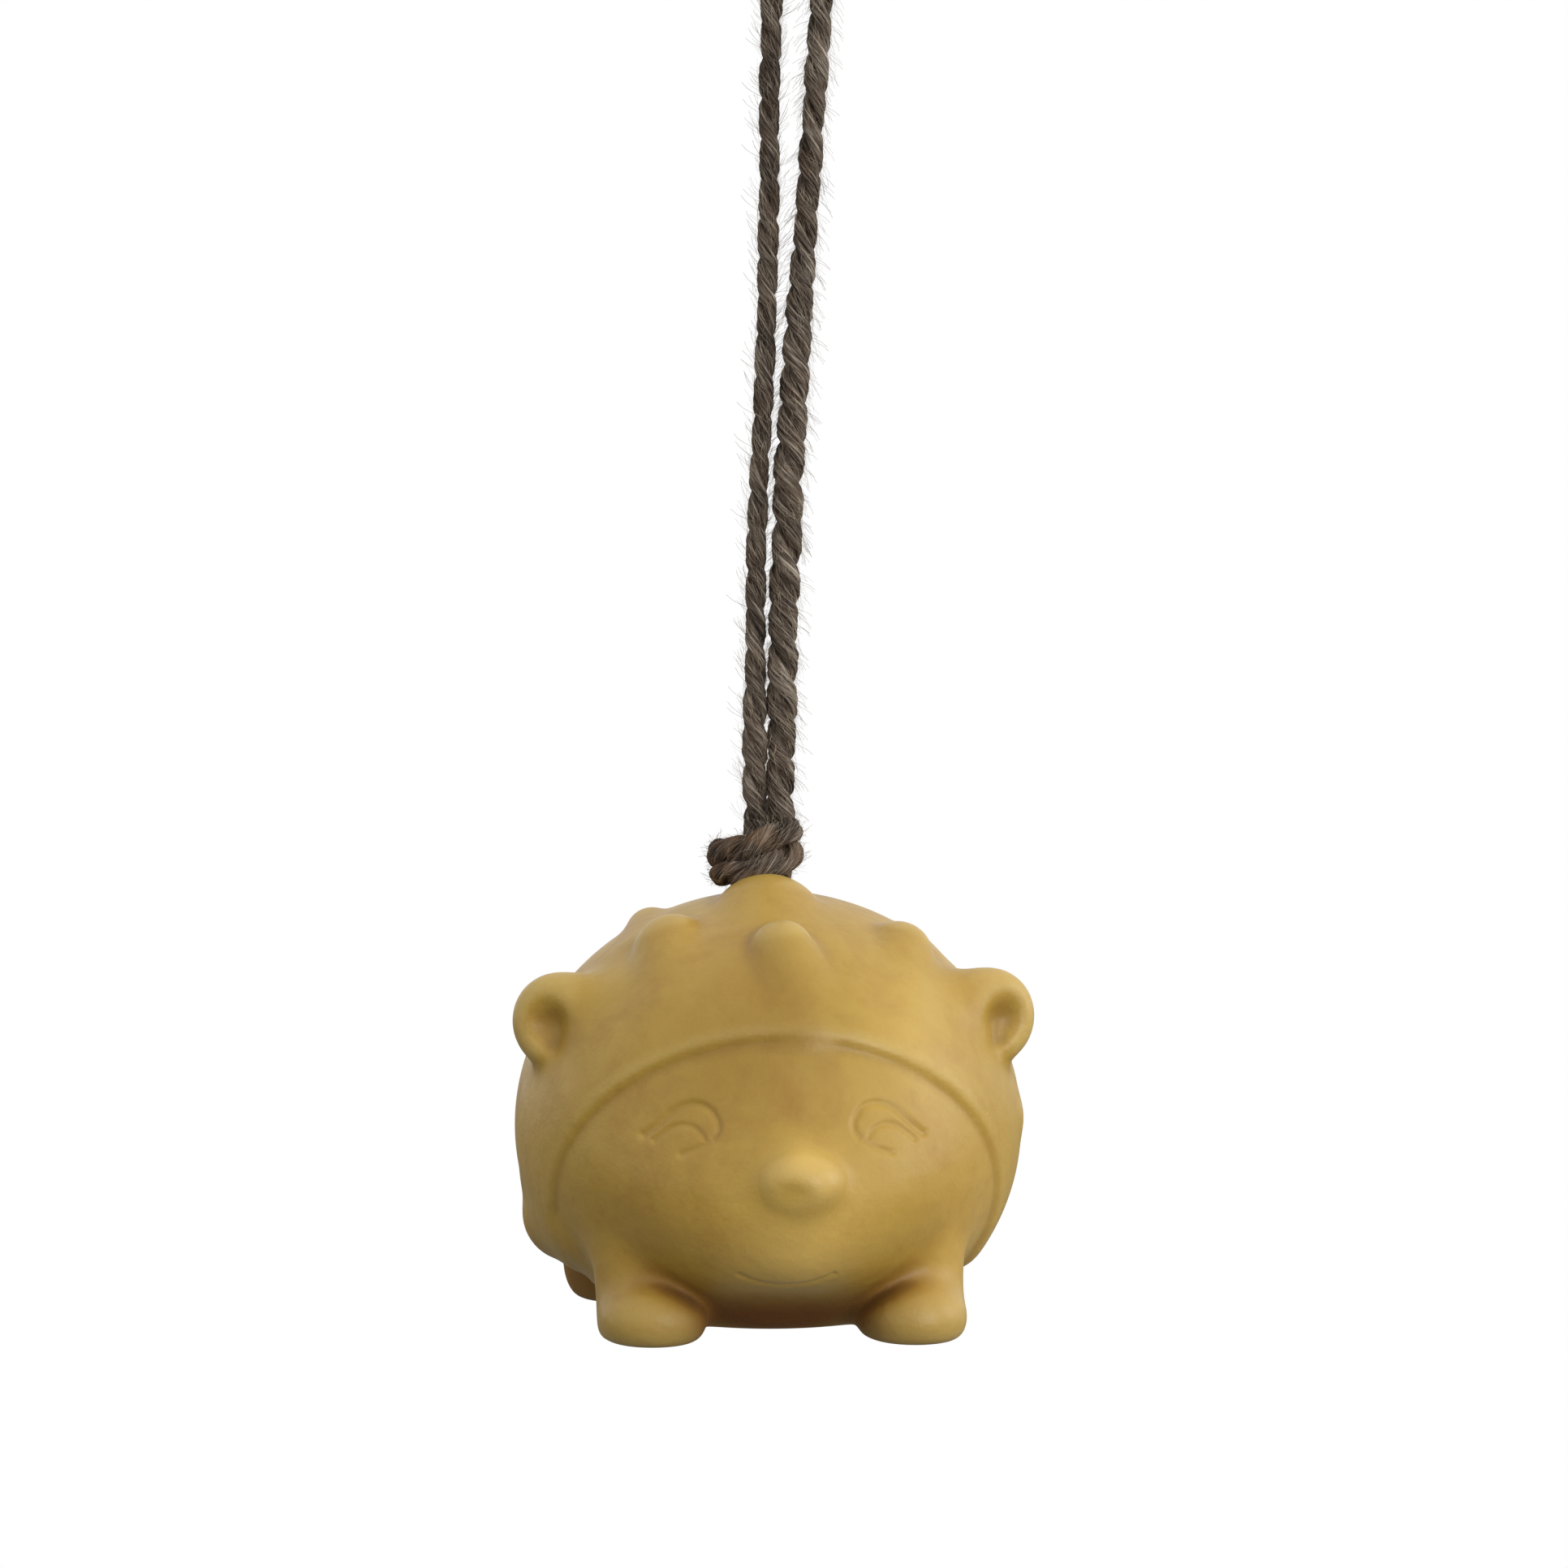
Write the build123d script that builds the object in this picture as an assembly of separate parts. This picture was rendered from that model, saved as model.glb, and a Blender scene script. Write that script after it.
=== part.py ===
from build123d import *
import math
import os

# A hedgehog figurine that hangs on a cord: one solid casting of wax-like material, with a doubled jute cord
# that is knotted on its crown and runs down a bore to a second knot, buried in the casting.
# The figure is modelled standing on its soles at z = 0, facing -Y, with +X on the viewer's right and the bore
# on the Z axis, over its centre of mass. At the end everything moves so that the origin is the hanging point:
# the inside of the loop's top, where the cord bears on its hook. All sizes are in millimetres.

# Trunk: an egg, flattened under the belly
trunk_half_width = 29.9
trunk_half_length = 32.2
trunk_half_height = 27.5
trunk_z = 23.5
belly_z = 2.0
# Its front and its back, which the hood, the face, the ears and the legs take their places from
front_y = -trunk_half_length
back_y = trunk_half_length

# Quill coat: a second skin over the trunk, open over the face like a hood, and ending at a hem
coat_thickness = 1.3
hood_tilt = 37.4
hood_inset = 16.8
rim_round = 0.6
hem_z = 6.0

# Quills: blunt cones that lean back and lie nearly flat on the coat
quill_base_radius = 6.4
quill_tip_radius = 2.6
quill_lean = 56.0
quill_stand = 0.9
# Degrees from a full-size quill's root to its tip, round the coat
quill_tip_ahead = 14.5
# Over the brow: degrees of roll from the top, degrees of the tip from the front pole, share of the size, and how
# far the tip stands over the level of the root
brow_quills = (
    (-1.5, 57.5, 1.0, 1.2),
    (-25.0, 71.0, 1.05, 0.9),
    (30.0, 75.0, 1.05, 0.9),
    (-29.0, 95.0, 1.0, 0.9),
    (36.0, 97.0, 1.0, 0.8),
    (-61.0, 88.0, 0.9, 0.8),
    (61.0, 88.0, 0.9, 0.8),
    (-88.0, 97.0, 0.85, 0.8),
    (87.0, 97.0, 0.85, 0.8),
)
# Each column behind them: degrees of roll, share of the size, degrees of each tip from the front pole
rear_quill_columns = (
    (0.0, 1.0, (121.0, 143.0, 166.0)),
    (29.5, 0.95, (121.0, 145.0, 169.0)),
    (61.0, 0.95, (110.0, 133.0, 157.0)),
    (87.0, 0.85, (121.0, 144.0)),
    (108.0, 0.8, (111.0, 133.0)),
)

# Crown peak: the broad low swelling in front of the knot
peak_base_radius = 9.0
peak_tip_radius = 4.5
peak_height = 4.6
peak_rise = 1.9
peak_reach = 7.5

# Muzzle: a broad dome, the chin's egg on it, and a snout that ends in a small upturned nose
muzzle_half_width = 24.0
muzzle_half_length = 24.0
muzzle_half_height = 14.0
muzzle_y = front_y + 19.7
muzzle_z = 19.2
chin_half_width = 17.0
chin_half_length = 15.2
chin_half_height = 12.0
chin_y = front_y + 9.7
chin_z = 17.8
snout_root = (0.0, front_y + 6.7, 18.6)
snout_tip = (0.3, front_y - 2.0, 19.3)
snout_root_radius = 11.0
snout_tip_radius = 5.8
nose_half_width = 4.8
nose_half_length = 3.6
nose_half_height = 3.5
nose_x = 1.3
nose_y = front_y - 4.8
nose_z = 20.2

# Hollow under the chin, which leaves the chest behind it
throat_half_width = 12.5
throat_half_length = 12.5
throat_half_height = 7.2
throat_y = front_y + 0.7
throat_z = 0.6

# Face lines, pressed in: points across and up, seen from the front, mirrored for the second eye
line_width = 0.9
line_depth = 0.5
lid_points = (
    (16.6, 25.2),
    (14.2, 27.2),
    (11.6, 29.0),
    (8.8, 28.5),
    (7.9, 26.4),
    (9.6, 24.5),
    (12.4, 23.3),
)
iris_points = ((15.2, 24.8), (13.0, 26.4), (10.7, 26.4), (9.6, 25.4))
mouth_points = ((-5.6, 9.2), (-3.0, 8.1), (0.0, 7.7), (3.0, 8.1), (5.6, 9.2))

# Ears: thick round dishes that face forward, turned a little outward, with a bridge of clay to the head
ear_x = 26.2
ear_y = front_y + 21.7
ear_z = 37.4
ear_radius = 5.5
ear_thickness = 5.4
ear_round = 2.4
ear_hollow_half_width = 2.6
ear_hollow_half_height = 3.0
ear_hollow_depth = 2.6
ear_hollow_drop = 0.8
ear_turn = 20.0
ear_bridge_radius = 4.4
ear_bridge_reach = 7.0

# Legs: drops whose lower ends are cut flat as soles, each with a round foot in front
front_leg_top = (15.3, front_y + 15.7, 14.0)
front_leg_end = (15.4, front_y + 13.4, 2.6)
front_leg_top_radius = 7.3
front_leg_end_radius = 7.0
front_foot = (15.0, front_y + 9.8, 3.0)
rear_leg_top = (16.5, back_y - 17.2, 16.0)
rear_leg_end = (18.0, back_y - 15.0, 4.2)
rear_leg_top_radius = 10.4
rear_leg_end_radius = 8.2
rear_foot = (17.6, back_y - 18.0, 3.2)
foot_half_width = 7.0
foot_half_length = 6.9
foot_half_height = 4.9

# Jute cord, its bore, and the knot that is buried at the bore's end
cord_diameter = 2.8
strand_gap = 0.2
cord_clearance = 0.3
bore_depth = 26.0
anchor_half_width = 5.2
anchor_half_height = 4.4

# Knot on the crown: an oval core of squeezed cord, and a wrap that climbs round it in half turns
wrap_diameter = 2.7
wrap_radius = 4.05
wrap_front_climb = 1.5
wrap_back_climb = 1.8
core_half_width = 2.3
core_half_length = 1.7
seat_gap = 0.3
pivot_gap = 0.3
half_turn_point_count = 24

# Loop above the swing axis: the points of each leg, across and up, chosen by hand, and the top over its hook
left_leg_points = ((-1.5, 0), (-1.8, 28.0), (-0.1, 58.0))
right_leg_points = ((1.5, 0), (1.9, 31.0), (3.8, 60.0))
loop_left_x = 0.5
loop_right_x = 7.2
loop_height = 108.0
run_share = 0.45

# How far cutting blocks reach past what they cut
overrun = 60.0


def egg(half_width, half_length, half_height, y, z, x=0):
    """A ball stretched to three half sizes, with its centre at a place."""
    return Pos(x, y, z) * scale(Sphere(1), by=(half_width, half_length, half_height))


def drop(start, end, start_radius, end_radius):
    """Two balls and the straight skin that is tangent to both."""
    start, end = Vector(*start), Vector(*end)
    length = (end - start).length
    lean = math.asin((start_radius - end_radius) / length)
    outline = []
    for height, radius, turn in ((0, start_radius, -math.pi / 2), (length, end_radius, math.pi / 2)):
        pole = (0, height + radius * math.sin(turn))
        touch = (radius * math.cos(lean), height + radius * math.sin(lean))
        half_way = (turn + lean) / 2
        middle = (radius * math.cos(half_way), height + radius * math.sin(half_way))
        outline.append(ThreePointArc(pole, middle, touch))
    outline.append(Line(outline[0] @ 1, outline[1] @ 1))
    outline.append(Line(outline[0] @ 0, outline[1] @ 0))
    profile = Plane.XZ * make_face(Curve() + outline)
    return Plane(origin=start, z_dir=end - start) * revolve(profile, Axis.Z)


def blunt_cone(base_radius, tip_radius, height):
    """A cone that stands on the XY plane, with its side tangent to a round tip."""
    tip_centre = height - tip_radius
    to_tip = math.hypot(base_radius, tip_centre)
    lean = math.asin(tip_radius / to_tip)
    side = math.atan2(tip_centre, -base_radius) - lean
    tangent_x = base_radius + to_tip * math.cos(lean) * math.cos(side)
    tangent_z = to_tip * math.cos(lean) * math.sin(side)
    middle = (math.atan2(tangent_z - tip_centre, tangent_x) + math.pi / 2) / 2
    middle_point = (tip_radius * math.cos(middle), tip_centre + tip_radius * math.sin(middle))
    outline = Polyline((0, height), (0, 0), (base_radius, 0), (tangent_x, tangent_z))
    outline += ThreePointArc((tangent_x, tangent_z), middle_point, (0, height))
    return revolve(Plane.XZ * make_face(outline), Axis.Z)


def coat_halves():
    """Half width, half length and half height of the coat's egg."""
    halves = (trunk_half_width, trunk_half_length, trunk_half_height)
    return [half + coat_thickness for half in halves]


def coat_place(roll, angle):
    """A point on the coat and its outward direction, for a roll from the top and an angle from the front."""
    unit = (
        math.sin(math.radians(angle)) * math.sin(math.radians(roll)),
        -math.cos(math.radians(angle)),
        math.sin(math.radians(angle)) * math.cos(math.radians(roll)),
    )
    outward = Vector(*(u / half for u, half in zip(unit, coat_halves()))).normalized()
    point = Vector(0, 0, trunk_z) + Vector(*(u * half for u, half in zip(unit, coat_halves())))
    return point, outward


def quill(roll, tip_angle, share, stand):
    """One quill that leans towards the rump, rooted deep enough to bury the whole rim of its base."""
    point, outward = coat_place(roll, tip_angle - quill_tip_ahead * share)
    back = (Vector(0, 1, 0) - outward * outward.Y).normalized()
    tilt = math.radians(quill_lean)
    root = quill_base_radius * share * math.sin(tilt)
    direction = outward * math.cos(tilt) + back * math.sin(tilt)
    height = (stand + root) / math.cos(tilt)
    cone = blunt_cone(quill_base_radius * share, quill_tip_radius * share, height)
    return Plane(origin=point - outward * root, z_dir=direction) * cone


def quills():
    """All quills: those over the brow, and the columns behind them on both sides."""
    pieces = [quill(*values) for values in brow_quills]
    for roll, share, angles in rear_quill_columns:
        for side in (-1, 1) if roll else (1,):
            for angle in angles:
                pieces.append(quill(side * roll, angle, share, quill_stand * share))
    return pieces


def crown_peak():
    """The low peak on the midline, just in front of the knot."""
    cap = blunt_cone(peak_base_radius, peak_tip_radius, peak_height)
    return Pos(0, -peak_reach, crown_z() + peak_rise - peak_height) * cap


def hood_cutter():
    """A block in front of the hood's opening, whose back face is the rim's plane."""
    block = Box(overrun * 2, overrun, overrun * 3, align=(Align.CENTER, Align.MAX, Align.CENTER))
    reach = trunk_half_length - hood_inset
    return Pos(0, 0, trunk_z) * Rot(hood_tilt, 0, 0) * Pos(0, -reach, 0) * block


def below(height):
    """A block under a height, for the hem, the belly and the soles."""
    top_centre = (Align.CENTER, Align.CENTER, Align.MAX)
    return Pos(0, 0, height) * Box(overrun * 2, overrun * 2, overrun, align=top_centre)


def coat():
    """The coat's skin, cut open at the hood and the hem."""
    skin = egg(*coat_halves(), 0, trunk_z)
    skin = skin - hood_cutter() - below(hem_z)
    return fillet(skin.edges(), rim_round)


def on_side(place, side):
    """A place on the figure's left (-1) or right (1)."""
    x, y, z = place
    return side * x, y, z


def leg(side, top, end, top_radius, end_radius, foot_place):
    """A stubby leg and its round foot, whose soles are cut flat later."""
    x, y, z = on_side(foot_place, side)
    column = drop(on_side(top, side), on_side(end, side), top_radius, end_radius)
    return [column, egg(foot_half_width, foot_half_length, foot_half_height, y, z, x)]


def legs():
    """Front and rear legs on both sides, with their feet."""
    pieces = []
    for side in (-1, 1):
        pieces += leg(side, front_leg_top, front_leg_end, front_leg_top_radius, front_leg_end_radius, front_foot)
        pieces += leg(side, rear_leg_top, rear_leg_end, rear_leg_top_radius, rear_leg_end_radius, rear_foot)
    return pieces


def ear(side):
    """A round dish, rounded at both rims and hollowed from the front, with its bridge to the head."""
    dish = Cylinder(ear_radius, ear_thickness)
    dish = fillet(dish.edges().filter_by(GeomType.CIRCLE), ear_round)
    bridge = drop((0, 0, 0), (-side * ear_bridge_reach, 0, -ear_hollow_depth), ear_bridge_radius, ear_bridge_radius)
    hollow = scale(Sphere(1), by=(ear_hollow_half_width, ear_hollow_half_height, ear_hollow_depth))
    dish = dish.fuse(bridge) - Pos(0, -ear_hollow_drop, ear_thickness / 2) * hollow
    return Pos(side * ear_x, ear_y, ear_z) * Rot(0, 0, side * ear_turn) * Rot(90, 0, 0) * dish


def chin(smaller=0):
    """The chin's egg, or one that much smaller."""
    halves = (chin_half_width, chin_half_length, chin_half_height)
    return egg(*(half - smaller for half in halves), chin_y, chin_z)


def trunk():
    """The smooth body under the coat, with its face, the hollow under its chin, and its legs."""
    core = egg(trunk_half_width, trunk_half_length, trunk_half_height, 0, trunk_z)
    muzzle = egg(muzzle_half_width, muzzle_half_length, muzzle_half_height, muzzle_y, muzzle_z)
    snout = drop(snout_root, snout_tip, snout_root_radius, snout_tip_radius)
    nose = egg(nose_half_width, nose_half_length, nose_half_height, nose_y, nose_z, nose_x)
    throat = egg(throat_half_width, throat_half_length, throat_half_height, throat_y, throat_z)
    solid = core.fuse(muzzle, chin(), snout, nose) - throat - below(belly_z)
    return solid.fuse(*legs()) - below(0)


def line_band(points, side, start_y):
    """A smooth line of the face, as a block of line width that runs forward from a place inside the figure."""
    stroke = trace(Spline(*((side * x, z) for x, z in points)), line_width)
    return Pos(0, start_y, 0) * extrude(Plane.XZ * stroke, overrun)


def face_lines():
    """What the face's lines press in: bands cut short at a line's depth under the trunk and the chin."""
    brow_floor = egg(
        trunk_half_width - line_depth,
        trunk_half_length - line_depth,
        trunk_half_height - line_depth,
        0,
        trunk_z,
    )
    lines = [line_band(mouth_points, 1, chin_y) - chin(line_depth)]
    for side in (-1, 1):
        for points in (lid_points, iris_points):
            lines.append(line_band(points, side, 0) - brow_floor)
    return lines


def bore():
    """The bore for both strands, with the closed chamber at its end for the buried knot."""
    radius = strand_x() + cord_diameter / 2 + cord_clearance
    shaft = Cylinder(radius, bore_depth + overrun, align=(Align.CENTER, Align.CENTER, Align.MIN))
    chamber = egg(
        anchor_half_width + cord_clearance,
        anchor_half_width + cord_clearance,
        anchor_half_height + cord_clearance,
        0,
        anchor_z(),
    )
    return chamber.fuse(Pos(0, 0, crown_z() - bore_depth) * shaft)


def hedgehog_body():
    """The casting: coat, trunk, ears and quills as one, with the bore and the pressed-in face lines."""
    solid = coat().fuse(trunk())
    solid = solid.fuse(ear(-1), ear(1))
    solid = solid.fuse(*quills(), crown_peak())
    return solid - face_lines() - bore()


def crown_z():
    """Height of the coat's top, where the bore opens."""
    return trunk_z + trunk_half_height + coat_thickness


def anchor_z():
    """Height of the buried knot's centre, at the bore's end."""
    return crown_z() - bore_depth - anchor_half_height


def knot_z():
    """Height of the crown knot's underside."""
    return crown_z() + seat_gap


def knot_top_z():
    """Height of the crown knot's top, after a front, a back and a front half turn."""
    return knot_z() + wrap_front_climb * 2 + wrap_back_climb + wrap_diameter


def pivot_z():
    """Height of the swing axis, through the round ends of the loop's legs."""
    return knot_top_z() + pivot_gap + cord_diameter / 2


def strand_x():
    """How far each strand's centre lies from the middle of the pair."""
    return (cord_diameter + strand_gap) / 2


def bore_strand(side):
    """One strand in the bore, from the buried knot up to the crown knot."""
    bottom = anchor_z() + anchor_half_height + cord_clearance
    strand = Cylinder(cord_diameter / 2, knot_z() - bottom, align=(Align.CENTER, Align.CENTER, Align.MIN))
    return Pos(side * strand_x(), 0, bottom) * strand


def anchor_knot():
    """The buried knot, pulled tight to a squat ball."""
    return egg(anchor_half_width, anchor_half_width, anchor_half_height, 0, anchor_z())


def knot_core():
    """The two strands where the wrap squeezes them into an oval."""
    return Pos(0, 0, knot_z()) * extrude(Ellipse(core_half_width, core_half_length), knot_top_z() - knot_z())


def half_turn(start, climb, side):
    """A half turn of the wrap, tilted to climb, round the front (-1) or the back (1)."""
    end = Vector(-start.X, start.Y, start.Z + climb)
    middle = (start + end) / 2 + Vector(0, side, 0) * (end - start).length / 2
    return Edge.make_three_point_arc(start, middle, end), end


def wrap_path():
    """The wrap's centre line: a front, a back and a front half turn between two straight ends."""
    start = Vector(-wrap_radius, 0, knot_z() + wrap_diameter / 2)
    edges = [Edge.make_line(start + Vector(0, wrap_diameter, 0), start)]
    for side, climb in ((-1, wrap_front_climb), (1, wrap_back_climb), (-1, wrap_front_climb)):
        arc, start = half_turn(start, climb, side)
        edges.append(arc)
    edges.append(Edge.make_line(start, start + Vector(0, wrap_diameter, 0)))
    return Wire(edges)


def tube(path, diameter):
    """A round tube along a path."""
    return sweep(Plane(origin=path @ 0, z_dir=path % 0) * Circle(diameter / 2), path=path)


def print_wrap_gap(path):
    """The least gap between turns of the wrap, measured on points along its centre line."""
    count = 5 * half_turn_point_count
    points = [path @ (i / count) for i in range(count + 1)]
    apart = half_turn_point_count
    least = min(
        (points[i] - points[j]).length
        for i in range(len(points))
        for j in range(i + apart, len(points))
    )
    print("least gap of the wrap to itself", round(least - wrap_diameter, 2), "mm")


def loop_path():
    """The centre line of the loop: up the left leg, over the hook and down the right leg."""
    points = [*left_leg_points, (loop_left_x, loop_height), (loop_right_x, loop_height)]
    points += reversed(right_leg_points)
    places = [Vector(x, 0, pivot_z() + z) for x, z in points]
    radii = []
    for before, here, after in zip(places, places[1:], places[2:]):
        turn = math.radians((here - before).get_angle(after - here))
        shorter = min((here - before).length, (after - here).length)
        radii.append(run_share * shorter / math.tan(turn / 2))
    print("bend radii of the loop", [round(radius, 1) for radius in radii], "mm")
    return FilletPolyline(*places, radius=radii)


def hanging_loop():
    """The loop's tube, with round ends on the swing axis."""
    path = loop_path()
    loop = tube(path, cord_diameter)
    section = math.pi * (cord_diameter / 2) ** 2
    print("loop length", round(path.length, 1), "mm")
    print("volume over section times length", round(loop.volume / section / path.length, 4))
    return loop.fuse(*(Pos(*(path @ end)) * Sphere(cord_diameter / 2) for end in (0, 1)))


def main():
    """Build every node, move it to the hanging point's frame and write it."""
    wrap = wrap_path()
    print_wrap_gap(wrap)
    nodes = {
        "hedgehog_body": hedgehog_body(),
        "hanging_loop": hanging_loop(),
        "knot_wrap": tube(wrap, wrap_diameter),
        "knot_core": knot_core(),
        "bore_strand_left": bore_strand(-1),
        "bore_strand_right": bore_strand(1),
        "anchor_knot": anchor_knot(),
    }
    hanging_x = (loop_left_x + loop_right_x) / 2
    hanging_z = pivot_z() + loop_height - cord_diameter / 2
    os.makedirs("parts", exist_ok=True)
    for name, solid in nodes.items():
        placed = Pos(-hanging_x, 0, -hanging_z) * solid
        export_step(placed, os.path.join("parts", name + ".step"))
        print(name, len(placed.solids()), "solid, valid", placed.is_valid, round(placed.volume), "mm3")
    print("body's centre of mass", nodes["hedgehog_body"].center(CenterOf.MASS))
    print("swing axis at", -hanging_x, 0, pivot_z() - hanging_z)


main()
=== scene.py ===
# %% [markdown]
# # A hedgehog figurine on a jute cord
#
# The object is small: a soft-edged hedgehog, cast in one piece from a wax-like mass, about 65 mm wide.
# A doubled jute cord is knotted on its crown, and the doubled end makes a loop to hang it by.
#
# Blender has two jobs here. The casting is modelled again as *digital clay*, because a hand-carved mould has
# no sharp seams between its forms. The cord is spun again out of plies and loose fibres. Both stand exactly
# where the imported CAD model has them.

import math

import bmesh
import bpy
import numpy as np
import openvdb
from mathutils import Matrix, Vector


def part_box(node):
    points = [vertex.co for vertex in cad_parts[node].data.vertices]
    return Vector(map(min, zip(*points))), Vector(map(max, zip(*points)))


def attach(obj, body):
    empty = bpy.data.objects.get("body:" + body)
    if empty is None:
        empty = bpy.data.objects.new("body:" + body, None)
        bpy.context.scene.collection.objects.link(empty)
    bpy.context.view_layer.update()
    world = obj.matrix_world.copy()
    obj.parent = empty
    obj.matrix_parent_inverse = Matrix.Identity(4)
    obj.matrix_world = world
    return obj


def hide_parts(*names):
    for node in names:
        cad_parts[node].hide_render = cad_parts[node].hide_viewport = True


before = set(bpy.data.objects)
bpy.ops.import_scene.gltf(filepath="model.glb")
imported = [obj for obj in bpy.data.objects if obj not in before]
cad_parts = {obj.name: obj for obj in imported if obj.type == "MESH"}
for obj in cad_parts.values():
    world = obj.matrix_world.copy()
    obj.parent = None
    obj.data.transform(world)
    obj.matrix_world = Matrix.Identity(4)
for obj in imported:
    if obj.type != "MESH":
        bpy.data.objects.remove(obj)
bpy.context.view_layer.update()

# %% [markdown]
# ## Units and places
#
# Blender works in metres. The figurine is easier to think about in millimetres, standing on its soles at
# zero height, facing -Y, with the bore for its cord on the Z axis. One helper turns such a place into the
# shared frame, whose origin is the point where the loop hangs.

# %% Millimetres and the figure's own frame
MM = 0.001
FIGURE_ORIGIN = np.array([-3.85, 0.0, -168.4])


def in_row(points):
    """Places in the figure's own frame, in millimetres, as places in the shared frame, in metres."""
    return (np.asarray(points, float) + FIGURE_ORIGIN) * MM


body_low, body_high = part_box("hedgehog_body")
print("casting:", [round((h - l) / MM, 1) for l, h in zip(body_low, body_high)], "mm")

# %% [markdown]
# ## The camera
#
# The photograph was taken almost level and a few degrees from the figure's right-hand side, so the nose
# stands a little off the middle line. A long lens keeps the forms calm. The camera looks at a point between
# the figure and the loop, because both are in the frame.

# %% A helper that puts things in the scene
def put_in_scene(name, data):
    """An object that shows a mesh, a curve, a camera or a lamp."""
    made = bpy.data.objects.new(name, data)
    bpy.context.scene.collection.objects.link(made)
    return made


# %% Camera at the photograph's angle
IMAGE_WIDTH = 1932
FOCAL_PIXELS = 6000
CAMERA_TARGET = Vector((-1.85, 0.0, -103.0)) * MM
CAMERA_DISTANCE = 0.6
CAMERA_AZIMUTH = math.radians(-4.0)
CAMERA_ELEVATION = math.radians(2.0)


def add_camera():
    """The camera that the photograph was taken with, as far as its picture tells."""
    data = bpy.data.cameras.new("photo_camera")
    data.sensor_fit = "AUTO"
    data.angle = 2 * math.atan(IMAGE_WIDTH / 2 / FOCAL_PIXELS)
    data.clip_start = 0.01
    data.clip_end = 20.0
    camera = put_in_scene("photo_camera", data)
    direction = Vector((
        math.sin(CAMERA_AZIMUTH) * math.cos(CAMERA_ELEVATION),
        -math.cos(CAMERA_AZIMUTH) * math.cos(CAMERA_ELEVATION),
        math.sin(CAMERA_ELEVATION),
    ))
    camera.location = CAMERA_TARGET + direction * CAMERA_DISTANCE
    camera.rotation_euler = (-direction).to_track_quat("-Z", "Y").to_euler()
    bpy.context.scene.camera = camera
    return camera


photo_camera = add_camera()
print("camera stands at", [round(v, 3) for v in photo_camera.location])

# %% [markdown]
# ## The cord's route
#
# The visible cord is one length of jute twine, about 22 cm of it: up the left leg, over the hook at the top,
# and down the right leg. It hangs taut, so its line is nearly straight. A NURBS curve takes the same points
# as the CAD route. Two more points stand about six diameters below the hook, where the legs run straight.
#
# Everything that follows the cord reads its points back from that curve, so there is only one route.

# %% Route of the loop
CORD_DIAMETER = 2.8 * MM
LOOP_ROUTE = (
    (-5.35, 0.0, -108.0),
    (-5.65, 0.0, -78.6),
    (-3.95, 0.0, -48.6),
    (-3.55, 0.0, -15.6),
    (-3.35, 0.0, 1.4),
    (3.35, 0.0, 1.4),
    (2.15, 0.0, -15.6),
    (-0.05, 0.0, -46.6),
    (-1.95, 0.0, -75.6),
    (-2.35, 0.0, -108.0),
)


def nurbs_line(name, points):
    """The points of a smooth curve through given control points, all in metres."""
    curve = bpy.data.curves.new(name, "CURVE")
    curve.dimensions = "3D"
    spline = curve.splines.new("NURBS")
    spline.points.add(len(points) - 1)
    for control, place in zip(spline.points, points):
        control.co = (*place, 1.0)
    spline.order_u = 3
    spline.use_endpoint_u = True
    spline.resolution_u = 40
    holder = put_in_scene(name, curve)
    bpy.context.view_layer.update()
    mesh = bpy.data.meshes.new_from_object(holder)
    line = np.array([v.co for v in mesh.vertices], float)
    line = line[np.append(True, np.linalg.norm(np.diff(line, axis=0), axis=1) > 1e-7)]
    bpy.data.objects.remove(holder)
    bpy.data.curves.remove(curve)
    bpy.data.meshes.remove(mesh)
    return line


def run_along(line):
    """How far along its line each point lies."""
    steps = np.linalg.norm(np.diff(line, axis=0), axis=1)
    return np.concatenate([[0.0], np.cumsum(steps)])


loop_line = nurbs_line("loop_route", np.array(LOOP_ROUTE) * MM)

# %% [markdown]
# ## Twine out of plies
#
# Jute twine is a few plies twisted round each other, and each ply is a bundle of coarse fibres. A round tube
# with a bump map would look like a cable. So each ply gets its own skin, which winds round the line, swells
# and thins, and carries low ridges where its fibres lie. Two plies with a twist of about 10 mm match the
# slanting lines in the photograph.
#
# Two helpers prepare the line: one puts stations at even steps along it, the other gives each station two
# directions across the line that don't spin.

# %% Stations and directions along a line
def evenly(line, step):
    """The same line with stations at even steps."""
    run = run_along(line)
    stations = np.linspace(0, run[-1], max(8, int(round(run[-1] / step))) + 1)
    return np.stack([np.interp(stations, run, line[:, axis]) for axis in range(3)], 1)


def unit(vectors):
    """Vectors scaled to length one."""
    return vectors / np.maximum(np.linalg.norm(vectors, axis=-1, keepdims=True), 1e-12)


def directions(line):
    """For each station: two directions across the line that turn as little as they can."""
    ahead = unit(np.gradient(line, axis=0))
    across = np.zeros_like(line)
    across[0] = unit(np.cross(ahead[0], (0.0, 1.0, 0.1)))
    for i in range(1, len(line)):
        kept = across[i - 1] - ahead[i] * np.dot(across[i - 1], ahead[i])
        across[i] = unit(kept)
    return across, np.cross(ahead, across)


def slow_wave(run, length, random):
    """A smooth random wave along a line, between about -1 and 1, with bumps of about the given length."""
    count = max(4, int(run[-1] / length) + 3)
    knots = random.uniform(-1, 1, count)
    place = run / run[-1] * (count - 1)
    low = np.clip(place.astype(int), 0, count - 2)
    blend = place - low
    blend = blend * blend * (3 - 2 * blend)
    return knots[low] * (1 - blend) + knots[low + 1] * blend


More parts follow.
